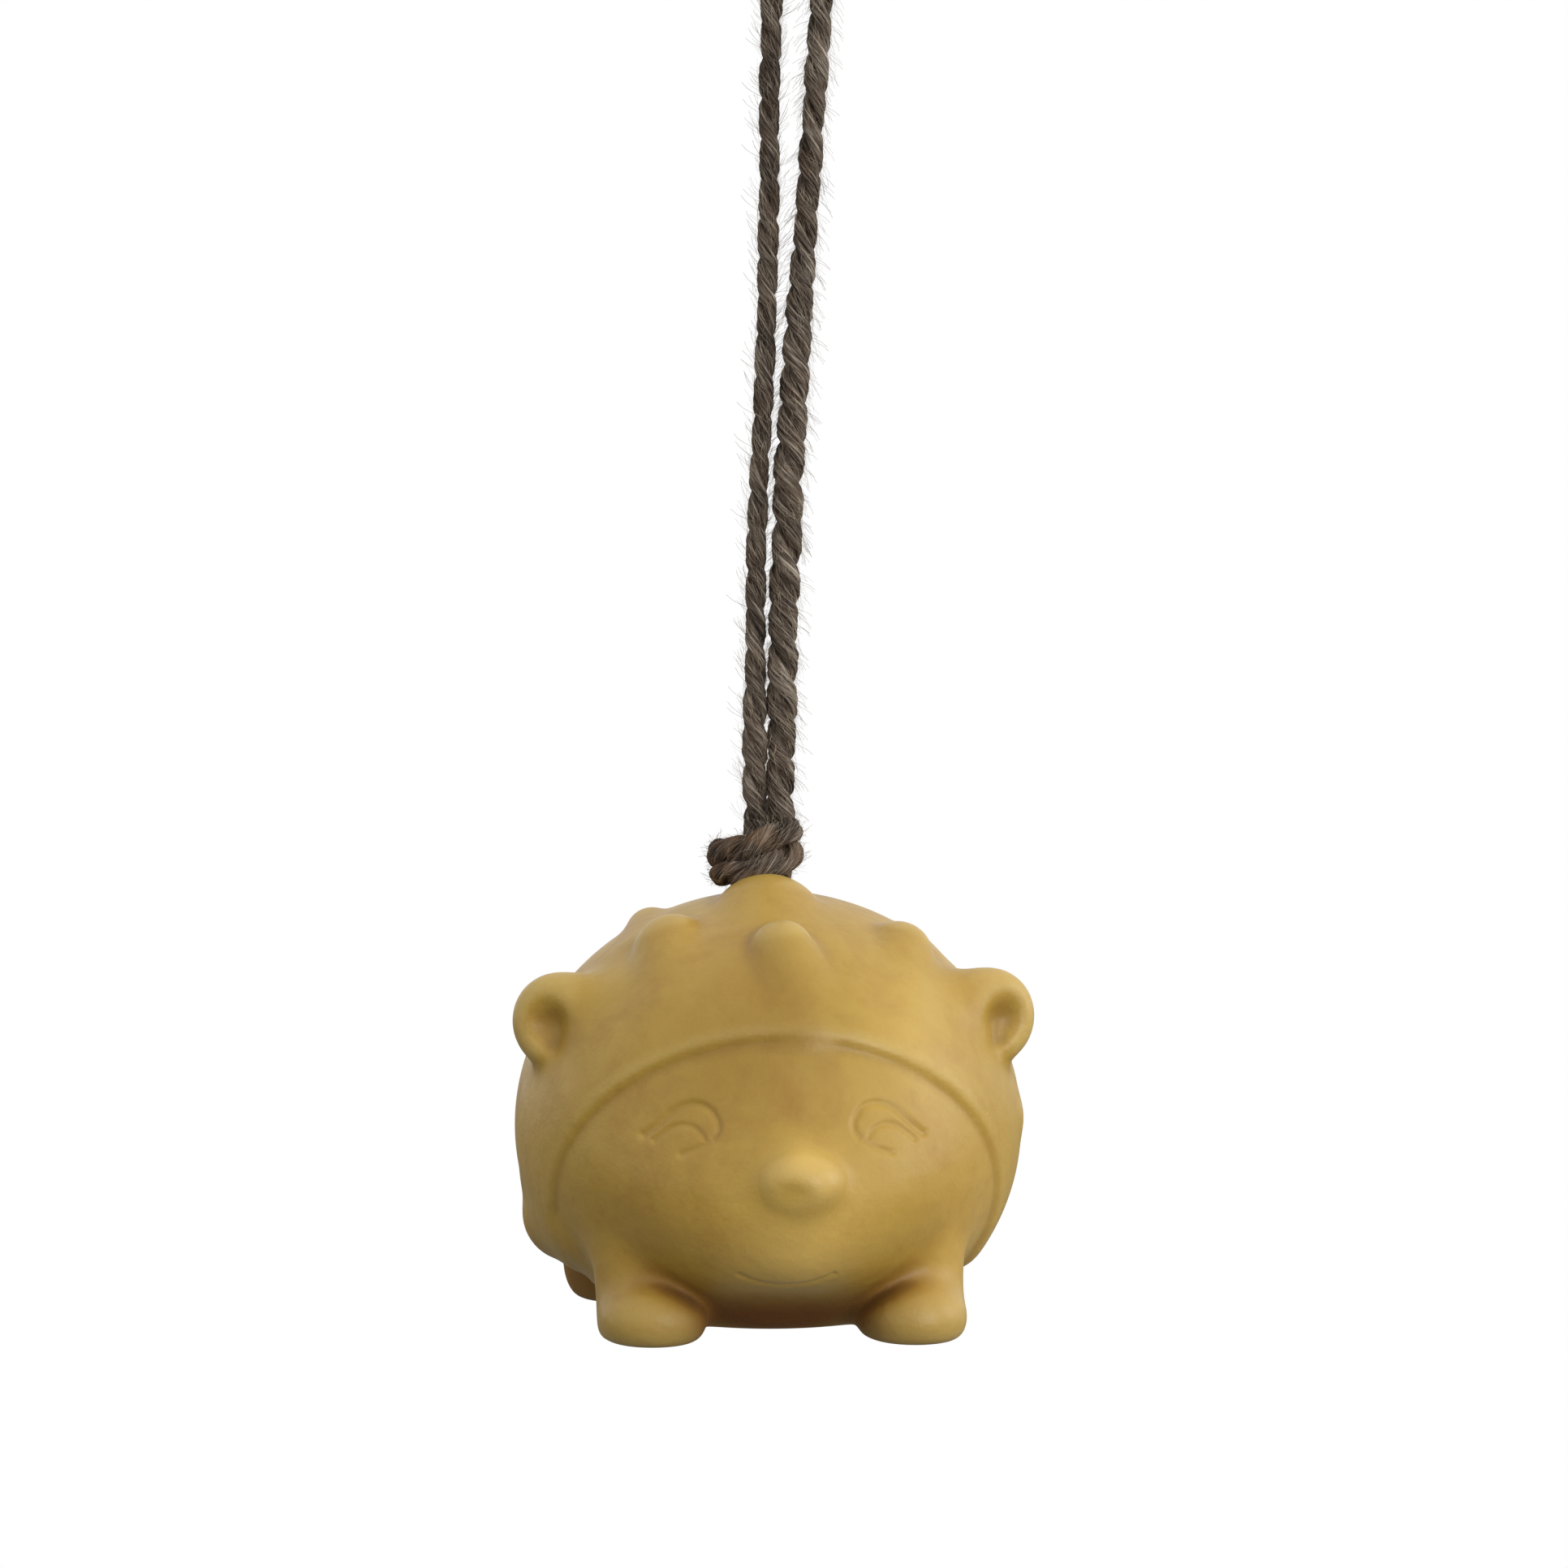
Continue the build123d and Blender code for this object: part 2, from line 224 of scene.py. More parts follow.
# %% Two helpers for meshes
def mark(mesh, name, values):
    """Numbers or directions kept on a mesh's points, for its finish to read."""
    kind, part = ("FLOAT", "value") if values.ndim == 1 else ("FLOAT_VECTOR", "vector")
    mesh.attributes.new(name, kind, "POINT").data.foreach_set(part, values.astype(np.float32).ravel())


def triangle_count(mesh):
    """How many triangles a mesh's faces come to."""
    return sum(len(face.vertices) - 2 for face in mesh.polygons)


# %% Spin one length of twine
PLY_COUNT = 2
PLY_SIDES = 30
PLY_STEP = 0.3 * MM
PLY_RADIUS_SHARE = 0.275
PLY_WIDTH_SHARE = 1.36
PLY_OFFSET_SHARE = 0.225
TWIST_LENGTH = 9.6 * MM
KNOT_TWIST_LENGTH = 9 * MM
RIDGES = ((5, 0.05), (8, 0.05), (13, 0.04))
RIDGE_TWIST = 0.9 * math.pi
RIDGE_DRIFT, RIDGE_DRIFT_LENGTH = 1.2, 7 * MM
SWELL, SWELL_LENGTH = 0.09, 5 * MM
WANDER, WANDER_LENGTH = 0.35, 14 * MM
TONE_LENGTH = 9 * MM
PLY_SHIFT, SEED_SHIFT = 17.3, 5.1


def ply_skin(line, diameter, fullness, start_angle, twist_length, random):
    """The vertices of one ply, ring by ring, as an array of stations by sides."""
    across, beside = directions(line)
    run = run_along(line)
    swell = fullness * (1 + SWELL * slow_wave(run, SWELL_LENGTH, random))
    wander = WANDER * slow_wave(run, WANDER_LENGTH, random)
    turn = start_angle - 2 * math.pi * run / twist_length + wander
    outward = np.cos(turn)[:, None] * across + np.sin(turn)[:, None] * beside
    onward = np.cos(turn)[:, None] * beside - np.sin(turn)[:, None] * across
    centre = line + (diameter * PLY_OFFSET_SHARE * swell)[:, None] * outward
    angles = np.linspace(0, 2 * math.pi, PLY_SIDES, endpoint=False)[None, :]
    radius = np.ones((len(line), PLY_SIDES))
    for count, height in RIDGES:
        drift = RIDGE_TWIST * run / twist_length + RIDGE_DRIFT * slow_wave(run, RIDGE_DRIFT_LENGTH, random)
        radius += height * np.cos(count * angles + drift[:, None] + random.uniform(0, 2 * math.pi))
    radius *= (diameter * PLY_RADIUS_SHARE * swell)[:, None]
    ends = np.minimum(run, run[-1] - run) / (diameter * PLY_RADIUS_SHARE)
    radius *= np.sqrt(np.clip(1 - (1 - np.clip(ends, 0, 1)) ** 2, 0.003, 1))[:, None]
    ring = np.cos(angles)[..., None] * outward[:, None]
    ring = ring + PLY_WIDTH_SHARE * np.sin(angles)[..., None] * onward[:, None]
    return centre[:, None] + radius[..., None] * ring


def twine(name, line, diameter, seed, fullness=1.0, twist_length=TWIST_LENGTH):
    """A mesh of twisted plies along a line. Its UV map is in millimetres: round the ply, and along it."""
    random = np.random.default_rng(seed)
    stations = evenly(line, PLY_STEP)
    run = run_along(stations)
    fullness = np.atleast_1d(fullness)
    full = np.interp(run / run[-1], np.linspace(0, 1, len(fullness)), fullness)
    points, faces, marks, grains, tones = [], [], [], [], []
    for ply in range(PLY_COUNT):
        start_angle = 2 * math.pi * ply / PLY_COUNT
        skin = ply_skin(stations, diameter, full, start_angle, twist_length, random)
        first = sum(len(p) for p in points)
        count = len(skin)
        points.append(skin.reshape(-1, 3))
        grains.append(unit(np.gradient(skin, axis=0)).reshape(-1, 3))
        tones.append(np.repeat(slow_wave(run, TONE_LENGTH, random), PLY_SIDES))
        rows = np.arange(count - 1)[:, None] * PLY_SIDES
        sides = np.arange(PLY_SIDES)[None, :]
        after = (sides + 1) % PLY_SIDES
        next_rows = rows + PLY_SIDES
        quads = np.stack([rows + sides, rows + after, next_rows + after, next_rows + sides], -1)
        faces += (quads.reshape(-1, 4) + first).tolist()
        faces.append((first + np.arange(PLY_SIDES)[::-1]).tolist())
        faces.append((first + (count - 1) * PLY_SIDES + np.arange(PLY_SIDES)).tolist())
        round_ply = 2 * math.pi * diameter * PLY_RADIUS_SHARE / MM
        u = np.stack([sides, sides + 1, sides + 1, sides], -1) / PLY_SIDES * round_ply
        v = np.stack([run[:-1], run[:-1], run[1:], run[1:]], -1)[:, None] / MM
        shift = ply * PLY_SHIFT + seed * SEED_SHIFT
        u, v = np.broadcast_arrays(u + shift, v)
        marks.append(np.stack([u, v], -1).reshape(-1, 2))
        marks.append(np.full((2 * PLY_SIDES, 2), shift))
    mesh = bpy.data.meshes.new(name)
    mesh.from_pydata(np.concatenate(points).tolist(), [], faces)
    uv = mesh.uv_layers.new(name="UVMap")
    uv.data.foreach_set("uv", np.concatenate(marks).astype(np.float32).ravel())
    mark(mesh, "grain", np.concatenate(grains))
    mark(mesh, "tone", np.concatenate(tones))
    mesh.shade_smooth()
    print(name, "length", round(run[-1] / MM, 1), "mm,", triangle_count(mesh), "triangles")
    return put_in_scene(name, mesh)


# %% [markdown]
# ## The loop
#
# The left leg is the tighter one and the right leg is fuller, most of all below its middle, where the
# fibres have come loose. A list of shares along the cord says so, from the left leg's foot over the top to
# the right leg's foot.

# %% The hanging loop
LOOP_FULLNESS = (
    1.12, 1.05, 0.92, 0.88, 0.84, 0.9, 0.84, 0.88, 0.9, 0.95,
    0.98, 1.0, 1.02, 1.02, 1.1, 1.26, 1.34, 1.28, 1.28, 1.26, 1.2,
)
loop = twine("jute_loop", loop_line, CORD_DIAMETER, seed=3, fullness=LOOP_FULLNESS)

# %% [markdown]
# ## The knot on the crown
#
# The doubled cord is tied on the crown, where it keeps the loop from slipping into the bore. Seen from the
# front, two bands slant up to the right, and both come out of one thick turn on the left. The route below
# goes round the two standing strands in that way. The strands run straight through the knot and down the
# bore to a second knot, which the casting hides.

# %% Routes of the knot and of the strands in the bore
KNOT_ROUTE = (
    (0.5, 0.2, 52.9),
    (-1.2, 2.9, 53.9),
    (-4.9, 2.2, 54.7),
    (-6.0, -1.6, 54.6),
    (-3.1, -4.6, 54.7),
    (1.1, -4.2, 55.9),
    (3.4, -0.5, 56.7),
    (1.8, 3.5, 57.6),
    (-2.9, 4.0, 57.4),
    (-6.2, 1.3, 56.7),
    (-5.4, -3.1, 57.0),
    (-1.2, -4.4, 58.4),
    (2.7, -2.5, 59.9),
    (2.9, 1.4, 59.5),
    (-0.0, 2.3, 57.7),
)
WRAP_DIAMETER = 3.2 * MM
knot_line = nurbs_line("knot_route", in_row(KNOT_ROUTE))
KNOT_FULLNESS = (1.0, 1.05, 1.05, 1.05, 1.0)
knot = twine("jute_knot", knot_line, WRAP_DIAMETER, 11, KNOT_FULLNESS, KNOT_TWIST_LENGTH)

CORE_ROUTES = {
    "left": ((-1.5, 0.1, 50.0), (-1.6, 0.0, 55.0), (-1.5, 0.0, 61.4)),
    "right": ((1.5, -0.1, 50.0), (1.3, 0.0, 55.0), (1.5, 0.0, 61.4)),
}
BORE_ROUTES = {
    "left": ((-1.5, 0.0, 26.6), (-1.5, 0.0, 39.0), (-1.5, 0.0, 50.3)),
    "right": ((1.5, 0.0, 26.6), (1.5, 0.0, 39.0), (1.5, 0.0, 50.3)),
}


def strands(stretch, routes, first_seed, fullness):
    """The left and the right strand of one stretch of the doubled cord."""
    made = []
    for i, (side, route) in enumerate(routes.items()):
        line = nurbs_line(f"{stretch}_{side}", in_row(route))
        made.append(twine(f"jute_{stretch}_{side}", line, CORD_DIAMETER, first_seed + i, fullness))
    return made


core_strands = strands("core", CORE_ROUTES, 20, 1.05)
bore_strands = strands("bore", BORE_ROUTES, 30, 0.93)

ANCHOR_ROUTE = (
    (-1.4, 0.0, 26.4),
    (-3.0, 1.6, 24.4),
    (0.0, 3.7, 23.6),
    (3.8, 0.4, 23.3),
    (0.4, -3.8, 22.9),
    (-3.8, -0.4, 22.3),
    (-0.4, 3.7, 21.6),
    (3.7, 0.4, 20.9),
    (0.4, -3.5, 20.3),
    (-3.0, -0.4, 19.8),
    (0.0, 1.6, 20.4),
    (0.4, 0.2, 23.0),
    (1.4, 0.0, 26.4),
)
anchor_line = nurbs_line("anchor_route", in_row(ANCHOR_ROUTE))
anchor = twine("jute_anchor", anchor_line, WRAP_DIAMETER, 41, 1.0, KNOT_TWIST_LENGTH)

# %% [markdown]
# ## Digital clay
#
# The casting has no edges: every form runs into the next through a soft hollow. Mesh pieces joined by
# booleans leave sharp seams there, and a voxel remesh of them rounds the ridges as much as the hollows.
#
# Clay is easier to describe by distance. A block of space is filled with small cells, and each cell knows
# how far it is from the surface. Two forms join softly when their distances are blended, and a hollow is
# pressed in the same way. At the end the openvdb module, which comes with Blender, draws the surface where
# the distance is zero.

# %% A block of clay
CLAY_STEP = 0.26
FAR = 10.0
BLEND_WIDTH = 1.5


def soft_least(a, b, soft):
    """The lesser of two distances, with a rounded change from one to the other."""
    width = BLEND_WIDTH * soft
    share = np.maximum(width - np.abs(a - b), 0) / width
    return np.minimum(a, b) - share * share * share * (width / 6)


def blurred(cells, width):
    """A grid of cells, blurred by a bell curve in each direction."""
    reach = int(math.ceil(2.5 * width))
    weights = np.exp(-0.5 * (np.arange(-reach, reach + 1) / width) ** 2)
    weights = weights / weights.sum()
    for axis in range(3):
        padding = [(reach, reach) if a == axis else (0, 0) for a in range(3)]
        wide = np.pad(cells, padding)
        places = np.arange(cells.shape[axis])
        cells = np.sum([w * np.take(wide, places + i, axis=axis) for i, w in enumerate(weights)], axis=0)
    return cells


# %% The block and what can be done to it
SMOOTH_FADE = 5.0
SMOOTH_DEPTH = 4.0
SMOOTH_PADDING = 12


class Clay:
    """Distances to one surface, in millimetres, on a grid of cells in the figure's own frame."""

    def __init__(self, low, high, step):
        self.step = step
        self.axes = [np.arange(l, h + step, step, dtype=np.float32) for l, h in zip(low, high)]
        self.distance = np.full([len(a) for a in self.axes], FAR, np.float32)

    def window(self, low, high):
        """The cells inside a box, and their places."""
        picks = tuple(
            slice(*np.searchsorted(axis, (l - self.step, h + self.step)))
            for axis, l, h in zip(self.axes, low, high)
        )
        return picks, np.meshgrid(*(a[p] for a, p in zip(self.axes, picks)), indexing="ij", sparse=True)

    def add(self, form, low, high, soft):
        """Press a form onto the clay, blended over a width."""
        picks, place = self.window(low, high)
        self.distance[picks] = soft_least(self.distance[picks], form(*place), soft)

    def cut(self, form, low, high, soft):
        """Take a form away, with its rim rounded over a width."""
        picks, place = self.window(low, high)
        self.distance[picks] = -soft_least(-self.distance[picks], form(*place), soft)

    def smooth(self, form, low, high, width):
        """Stroke the clay smooth inside a form, over a width that fades out at the form's edge."""
        picks, place = self.window(low, high)
        share = np.clip(-form(*place) / SMOOTH_FADE, 0, 1)
        here = np.clip(self.distance[picks], -SMOOTH_DEPTH, SMOOTH_DEPTH)
        wide = blurred(np.pad(here, SMOOTH_PADDING, mode="edge"), width / self.step)
        inner = slice(SMOOTH_PADDING, -SMOOTH_PADDING)
        self.distance[picks] += share * (wide[inner, inner, inner] - here)


# %% Forms, as distances from their skin
def egg(centre, halves):
    """A ball stretched to three half sizes."""
    def form(x, y, z):
        p = [(v - c) / h for v, c, h in zip((x, y, z), centre, halves)]
        q = [v / h for v, h in zip(p, halves)]
        near = np.sqrt(p[0] ** 2 + p[1] ** 2 + p[2] ** 2)
        return near * (near - 1) / np.maximum(np.sqrt(q[0] ** 2 + q[1] ** 2 + q[2] ** 2), 1e-6)
    return form


def drop(start, end, start_radius, end_radius):
    """Two balls and the straight skin between them."""
    start, end = np.array(start, float), np.array(end, float)
    line = end - start
    length_squared = float(line @ line)
    change = start_radius - end_radius
    slope = length_squared - change * change

    def form(x, y, z):
        p = (x - start[0], y - start[1], z - start[2])
        along = p[0] * line[0] + p[1] * line[1] + p[2] * line[2]
        past = along - length_squared
        w = [p[a] * length_squared - line[a] * along for a in range(3)]
        across = w[0] ** 2 + w[1] ** 2 + w[2] ** 2
        along_squared = along * along * length_squared
        past_squared = past * past * length_squared
        k = np.sign(change) * change * change * across
        beyond_end = np.sign(past) * slope * past_squared > k
        before_start = np.sign(along) * slope * along_squared < k
        at_end = np.sqrt(across + past_squared) / length_squared - end_radius
        at_start = np.sqrt(across + along_squared) / length_squared - start_radius
        between = (np.sqrt(across * slope / length_squared) + along * change) / length_squared - start_radius
        return np.where(beyond_end, at_end, np.where(before_start, at_start, between))
    return form


def below(height):
    """Everything below a height."""
    def form(x, y, z):
        return (z - height) + 0 * x + 0 * y
    return form


def box_round(points, reach):
    """The corners of a box round some points, with room on every side."""
    points = np.array(points, float)
    return points.min(0) - reach, points.max(0) + reach


clay = Clay((-34.5, -42.5, -2.4), (34.5, 38.0, 57.5), CLAY_STEP)
print("clay cells:", clay.distance.shape, "step", CLAY_STEP, "mm")

# %% [markdown]
# ## Trunk and face
#
# The trunk is an egg. The face is a broad dome that runs out to a small upturned nose, with a chin that
# overhangs the chest. They blend over several millimetres, and one stroke smooths the muzzle, so no line
# shows where it starts. The belly is cut level, a little above the soles.

# %% Trunk, muzzle, snout, nose and chest
TRUNK_CENTRE = (0.0, 0.0, 23.5)
TRUNK_HALVES = (29.9, 32.2, 27.5)
BELLY_HEIGHT = 0.2


def egg_and_box(centre, halves, soft):
    """An egg, and the box in which it changes the clay."""
    centre, halves = np.array(centre, float), np.array(halves, float)
    low, high = centre - halves - BLEND_WIDTH * soft - 1, centre + halves + BLEND_WIDTH * soft + 1
    return egg(centre, halves), low, high, soft


def add_egg(centre, halves, soft):
    """An egg of clay on what is there."""
    clay.add(*egg_and_box(centre, halves, soft))


def cut_egg(centre, halves, soft):
    """An egg-shaped hollow."""
    clay.cut(*egg_and_box(centre, halves, soft))


def add_drop(start, end, start_radius, end_radius, soft):
    """A drop of clay on what is there."""
    low, high = box_round((start, end), max(start_radius, end_radius) + BLEND_WIDTH * soft + 1)
    clay.add(drop(start, end, start_radius, end_radius), low, high, soft)


add_egg(TRUNK_CENTRE, [h + 0.3 for h in TRUNK_HALVES], 1)
add_egg((0.0, -12.5, 19.2), (22.6, 22.6, 12.8), 6)
add_egg((0.0, -23.2, 16.2), (14.2, 13.6, 10.0), 7)
add_drop((0.0, -25.0, 18.0), (0.6, -32.0, 18.6), 8.0, 4.4, 5)
cut_egg((0.0, -36.0, 0.0), (14.0, 13.0, 7.0), 3.0)
clay.smooth(egg((0.0, -27.0, 17.0), (25.0, 18.0, 18.0)), (-25, -42, 0), (25, -10, 34), 2.0)
add_drop((0.6, -31.0, 14.5), (1.0, -33.8, 18.6), 5.0, 4.0, 3.0)
add_egg((1.4, -36.1, 20.3), (4.9, 4.4, 3.7), 1.9)
clay.cut(below(BELLY_HEIGHT), (-40, -45, -3), (40, 40, 12), 1.5)

# %% [markdown]
# ## Legs
#
# Each leg is a stubby column that flares into the body, with a round foot a little in front of it. The
# soles are cut flat at the end, so that the figure can also stand.

# %% Legs and feet
for side in (-1, 1):
    add_drop((side * 15.3, -16.5, 14.0), (side * 15.6 + 0.3, -18.8, 2.2), 7.2, 6.3, 2.2)
    add_egg((side * 15.6 + 0.4, -22.4, 2.6), (6.2, 6.6, 4.8), 1.8)
    add_drop((side * 16.3, 15.0, 16.0), (side * 17.4, 17.0, 4.6), 10.2, 7.4, 2.6)
    add_egg((side * 17.0, 14.2, 3.4), (6.6, 6.8, 4.6), 2.0)

# %% [markdown]
# ## The quill coat
#
# The coat lies over the trunk like a thick hood and stands out a little over a millimetre. Its rim arches
# over the brow and runs down behind the cheeks. It is an egg with the face sliced off by a tilted plane and
# the lower end by a level one, and both cuts are rounded.

# %% Coat with its hood and hem
COAT_THICKNESS = 1.3
COAT_HALVES = tuple(h + COAT_THICKNESS for h in TRUNK_HALVES)
HOOD_TILT = math.radians(37.4)
HOOD_REACH = 15.4
HOOD_SOFT = 1.4
HEM_HEIGHT = 5.4
HEM_SOFT = 2.2


def coat_form(x, y, z):
    """The coat's egg, cut open over the face and under the belly."""
    skin = egg(TRUNK_CENTRE, COAT_HALVES)(x, y, z)
    in_front = -y * math.cos(HOOD_TILT) - (z - TRUNK_CENTRE[2]) * math.sin(HOOD_TILT) - HOOD_REACH
    opened = -soft_least(-skin, -in_front, HOOD_SOFT)
    return -soft_least(-opened, z - HEM_HEIGHT, HEM_SOFT)


clay.add(coat_form, (-34, -36, 0), (34, 36, 57), 0.5)

# %% [markdown]
# ## Quills
#
# The quills are low and blunt, as a thumb could push them up out of wax. Each one rises slowly from a wide
# root, leans back, and drops off behind its tip, with soft hollows on both sides. Their places follow a
# simple rule, in columns from the brow to the rump: a roll from the top, and an angle from the front pole,
# as on a globe that lies on its side. The few quills over the brow are listed one by one, because the
# photograph shows them, and no two of them are alike. One broad low swell carries the knot on the crown.

# %% Places of the quills
# Each brow quill: roll, angle, the tip's and the root's radius, how far it stands out, its root's swing.
BROW_QUILLS = (
    (1.0, 54.0, 3.9, 9.0, 2.9, 9.0),
    (-27.0, 69.0, 4.9, 9.5, 2.3, -7.0),
    (33.0, 71.5, 4.4, 9.0, 2.3, 7.0),
    (-29.0, 95.0, 3.2, 6.8, 1.3, -4.0),
    (36.0, 97.0, 3.2, 6.8, 0.9, 4.0),
    (-60.0, 87.0, 2.9, 6.1, 0.5, 0.0),
    (60.0, 87.0, 2.9, 6.1, 0.8, 0.0),
    (-117.0, 94.0, 6.0, 9.5, 2.0, 0.0),
    (87.0, 97.0, 2.7, 5.8, 0.5, 0.0),
)
# Each row behind: roll, share of the full size, angles.
REAR_QUILLS = (
    (0.0, 1.0, (121.0, 143.0, 166.0)),
    (29.5, 0.95, (121.0, 145.0, 169.0)),
    (61.0, 0.95, (110.0, 133.0, 157.0)),
    (87.0, 0.85, (121.0, 144.0)),
    (108.0, 0.8, (111.0, 133.0)),
)
CROWN_SWELL = (-1.0, 79.0, 7.5, 13.0, 2.8)
CROWN_AHEAD = 14.0
REAR_STAND = 1.6
REAR_SOFT = 1.5
ROOT_RADIUS = 6.8
TIP_RADIUS = 3.2
ROOT_AHEAD = 18.0
QUILL_SOFT = 0.8
ROOT_SHOWS = 0.3


def coat_place(roll, angle):
    """A point on the coat and its outward direction."""
    roll, angle = math.radians(roll), math.radians(angle)
    globe = np.array([math.sin(angle) * math.sin(roll), -math.cos(angle), math.sin(angle) * math.cos(roll)])
    return np.array(TRUNK_CENTRE) + globe * COAT_HALVES, unit(globe / COAT_HALVES)


def add_quill(roll, angle, tip_radius, root_radius, stand, swing=0.0, ahead=ROOT_AHEAD, soft=QUILL_SOFT):
    """One blunt quill: its tip's place, its radii, how far it stands out, and its root's swing."""
    tip, outward = coat_place(roll, angle)
    root, root_outward = coat_place(roll + swing, angle - ahead)
    start = root - root_outward * (root_radius - ROOT_SHOWS)
    add_drop(start, tip + outward * (stand - tip_radius), root_radius, tip_radius, soft)


rear_places = [
    (side * roll, angle, share)
    for roll, share, angles in REAR_QUILLS
    for angle in angles
    for side in ((-1, 1) if roll else (1,))
]
for quill in BROW_QUILLS:
    add_quill(*quill)
for roll, angle, share in rear_places:
    sizes = TIP_RADIUS * share, ROOT_RADIUS * share, REAR_STAND * share
    add_quill(roll, angle, *sizes, ahead=ROOT_AHEAD * share, soft=REAR_SOFT)
add_quill(*CROWN_SWELL, ahead=CROWN_AHEAD)
print("quills:", len(BROW_QUILLS) + len(rear_places) + 1)

# %% [markdown]
# ## Ears
#
# The ears are thick round dishes that face forward and a little outward, with a soft hollow in each. A
# broad bridge of clay joins each to the coat, its lower rim tails off, and one stroke smooths the join.

# %% Ears
EAR_CENTRES = {-1: np.array([-26.2, -10.5, 37.4]), 1: np.array([26.5, -10.5, 37.7])}
EAR_TURN = math.radians(20.0)
EAR_RADIUS = 5.5
EAR_THICKNESS = 5.2
EAR_ROOM = 13


def ear_axes(side):
    """The direction an ear faces, and the direction across its dish towards the head."""
    facing = np.array([side * math.sin(EAR_TURN), -math.cos(EAR_TURN), 0.0])
    return facing, -np.array([math.cos(EAR_TURN), side * math.sin(EAR_TURN), 0.0]) * side


def dish(centre, facing, radius, thickness):
    """A disc with fully rounded edges."""
    def form(x, y, z):
        p = (x - centre[0], y - centre[1], z - centre[2])
        depth = p[0] * facing[0] + p[1] * facing[1] + p[2] * facing[2]
        out = np.sqrt(np.maximum(p[0] ** 2 + p[1] ** 2 + p[2] ** 2 - depth * depth, 0))
        return np.sqrt(np.maximum(out - (radius - thickness / 2), 0) ** 2 + depth * depth) - thickness / 2
    return form


for side, centre in EAR_CENTRES.items():
    facing, inward = ear_axes(side)
    low, high = box_round((centre,), EAR_ROOM)
    clay.add(dish(centre, facing, EAR_RADIUS, EAR_THICKNESS), low, high, 1.5)
    add_drop(centre + inward * 3.4 + (0, 1.4, 0.0), centre + inward * 8.0 + (0, 2.0, -1.0), 5.1, 6.0, 2.6)
    add_drop(centre + np.array([0.0, 0.6, -2.0]), centre + inward * 2.6 + (0, 1.2, -6.4), 3.2, 1.8, 3.0)
    hollow = centre + facing * 3.4 - inward * 0.1 - np.array([0, 0, 0.5])
    hollow_end = hollow + inward * 0.4 - facing * 0.5 - np.array([0, 0, 1.8])
    clay.cut(drop(hollow, hollow_end, 1.9, 0.9), low, high, 3.0)
    clay.smooth(egg(centre + inward * 4.0, (6.5, 9.0, 9.5)), low, high, 0.9)

# %% [markdown]
# ## Nose, soles and bore
#
# Last the nose gets a broad shallow dip, and the soles are cut flat. The bore for the cord goes down from
# the crown, with a chamber at its end for the buried knot.

# %% Dip in the nose
cut_egg((-0.6, -42.6, 19.5), (3.2, 2.3, 1.5), 1.8)

# %% Soles and bore
SOLE_HEIGHT = -0.3
BORE_RADIUS = 3.2
BORE_BOTTOM = 26.3
ANCHOR_CENTRE = (0.0, 0.0, 21.9)


def bore_form(x, y, z):
    """The round bore, from the crown down to the chamber."""
    return np.maximum(np.sqrt(x * x + y * y) - BORE_RADIUS, BORE_BOTTOM - z - 2)


clay.cut(below(SOLE_HEIGHT), (-40, -45, -3), (40, 40, 8), 1.3)
clay.cut(bore_form, (-5, -5, 22), (5, 5, 58), 0.6)
clay.cut(egg(ANCHOR_CENTRE, (5.5, 5.5, 4.7)), (-9, -9, 14), (9, 9, 30), 0.4)

# %% Draw the surface
TRIANGLE_LIMIT = 190000


def surface(block):
    """The clay's surface as points in the figure's own frame and four-sided faces."""
    band = 3 * block.step
    grid = openvdb.FloatGrid(band)
    near = np.clip(block.distance, -band, band)
    grid.copyFromArray(near.astype(np.float32))
    points, quads = grid.convertToQuads(0.0)
    points = points * block.step + np.array([axis[0] for axis in block.axes])
    return points, quads


points, quads = surface(clay)
body_mesh = bpy.data.meshes.new("hedgehog_casting")
body_mesh.from_pydata(in_row(points).tolist(), [], quads.tolist())
body_mesh.validate()
casting = put_in_scene("hedgehog_casting", body_mesh)
print("surface:", len(points), "points,", len(quads), "faces")

# %% [markdown]
# ## Relief of the surface
#
# The finish paints light and shade by the relief: a painted highlight, paler, on the ridges, and painted
# shade, deeper and browner, in the hollows. The clay knows where these are: around a ridge the distances grow
# faster than around flat ground. The measure goes into an attribute of the mesh, which the material reads.

# %% Mark ridges and hollows, for painted highlight and shade
RELIEF_REACH = 1.3


def relief_at(block, points):
    """How much the surface bulges at each point: above zero on ridges, below it in hollows."""
    reach = max(1, int(round(RELIEF_REACH / block.step)))
    cells = []
    for places, axis in zip(points.T, block.axes):
        nearest = np.round((places - axis[0]) / block.step).astype(int)
        cells.append(np.clip(nearest, reach, len(axis) - 1 - reach))
    total = np.zeros(len(points))
    for axis in range(3):
        for step in (-reach, reach):
            moved = [c + step if a == axis else c for a, c in enumerate(cells)]
            total += block.distance[tuple(moved)]
    middle = block.distance[tuple(cells)]
    return (total / 6 - middle) * 6 / (reach * block.step) ** 2


relief = relief_at(clay, points)
mark(body_mesh, "relief", relief)
print("relief from", round(float(relief.min()), 2), "to", round(float(relief.max()), 2))

# %% [markdown]
# ## Painted shade in sheltered places
#
# Shade is painted into the colour, darker and browner where little light gets in: between the legs, under the
# chin, inside the ears. So the filled cells of a coarser grid are blurred, and each point looks up how much
# clay is near a place just in front of it. On flat ground that is about a sixth, in a corner far more.

# %% Mark sheltered places, for painted shade
OCCLUSION_REACHES = (1.8, 4.5, 9.0)
OCCLUSION_STEP = 1.0


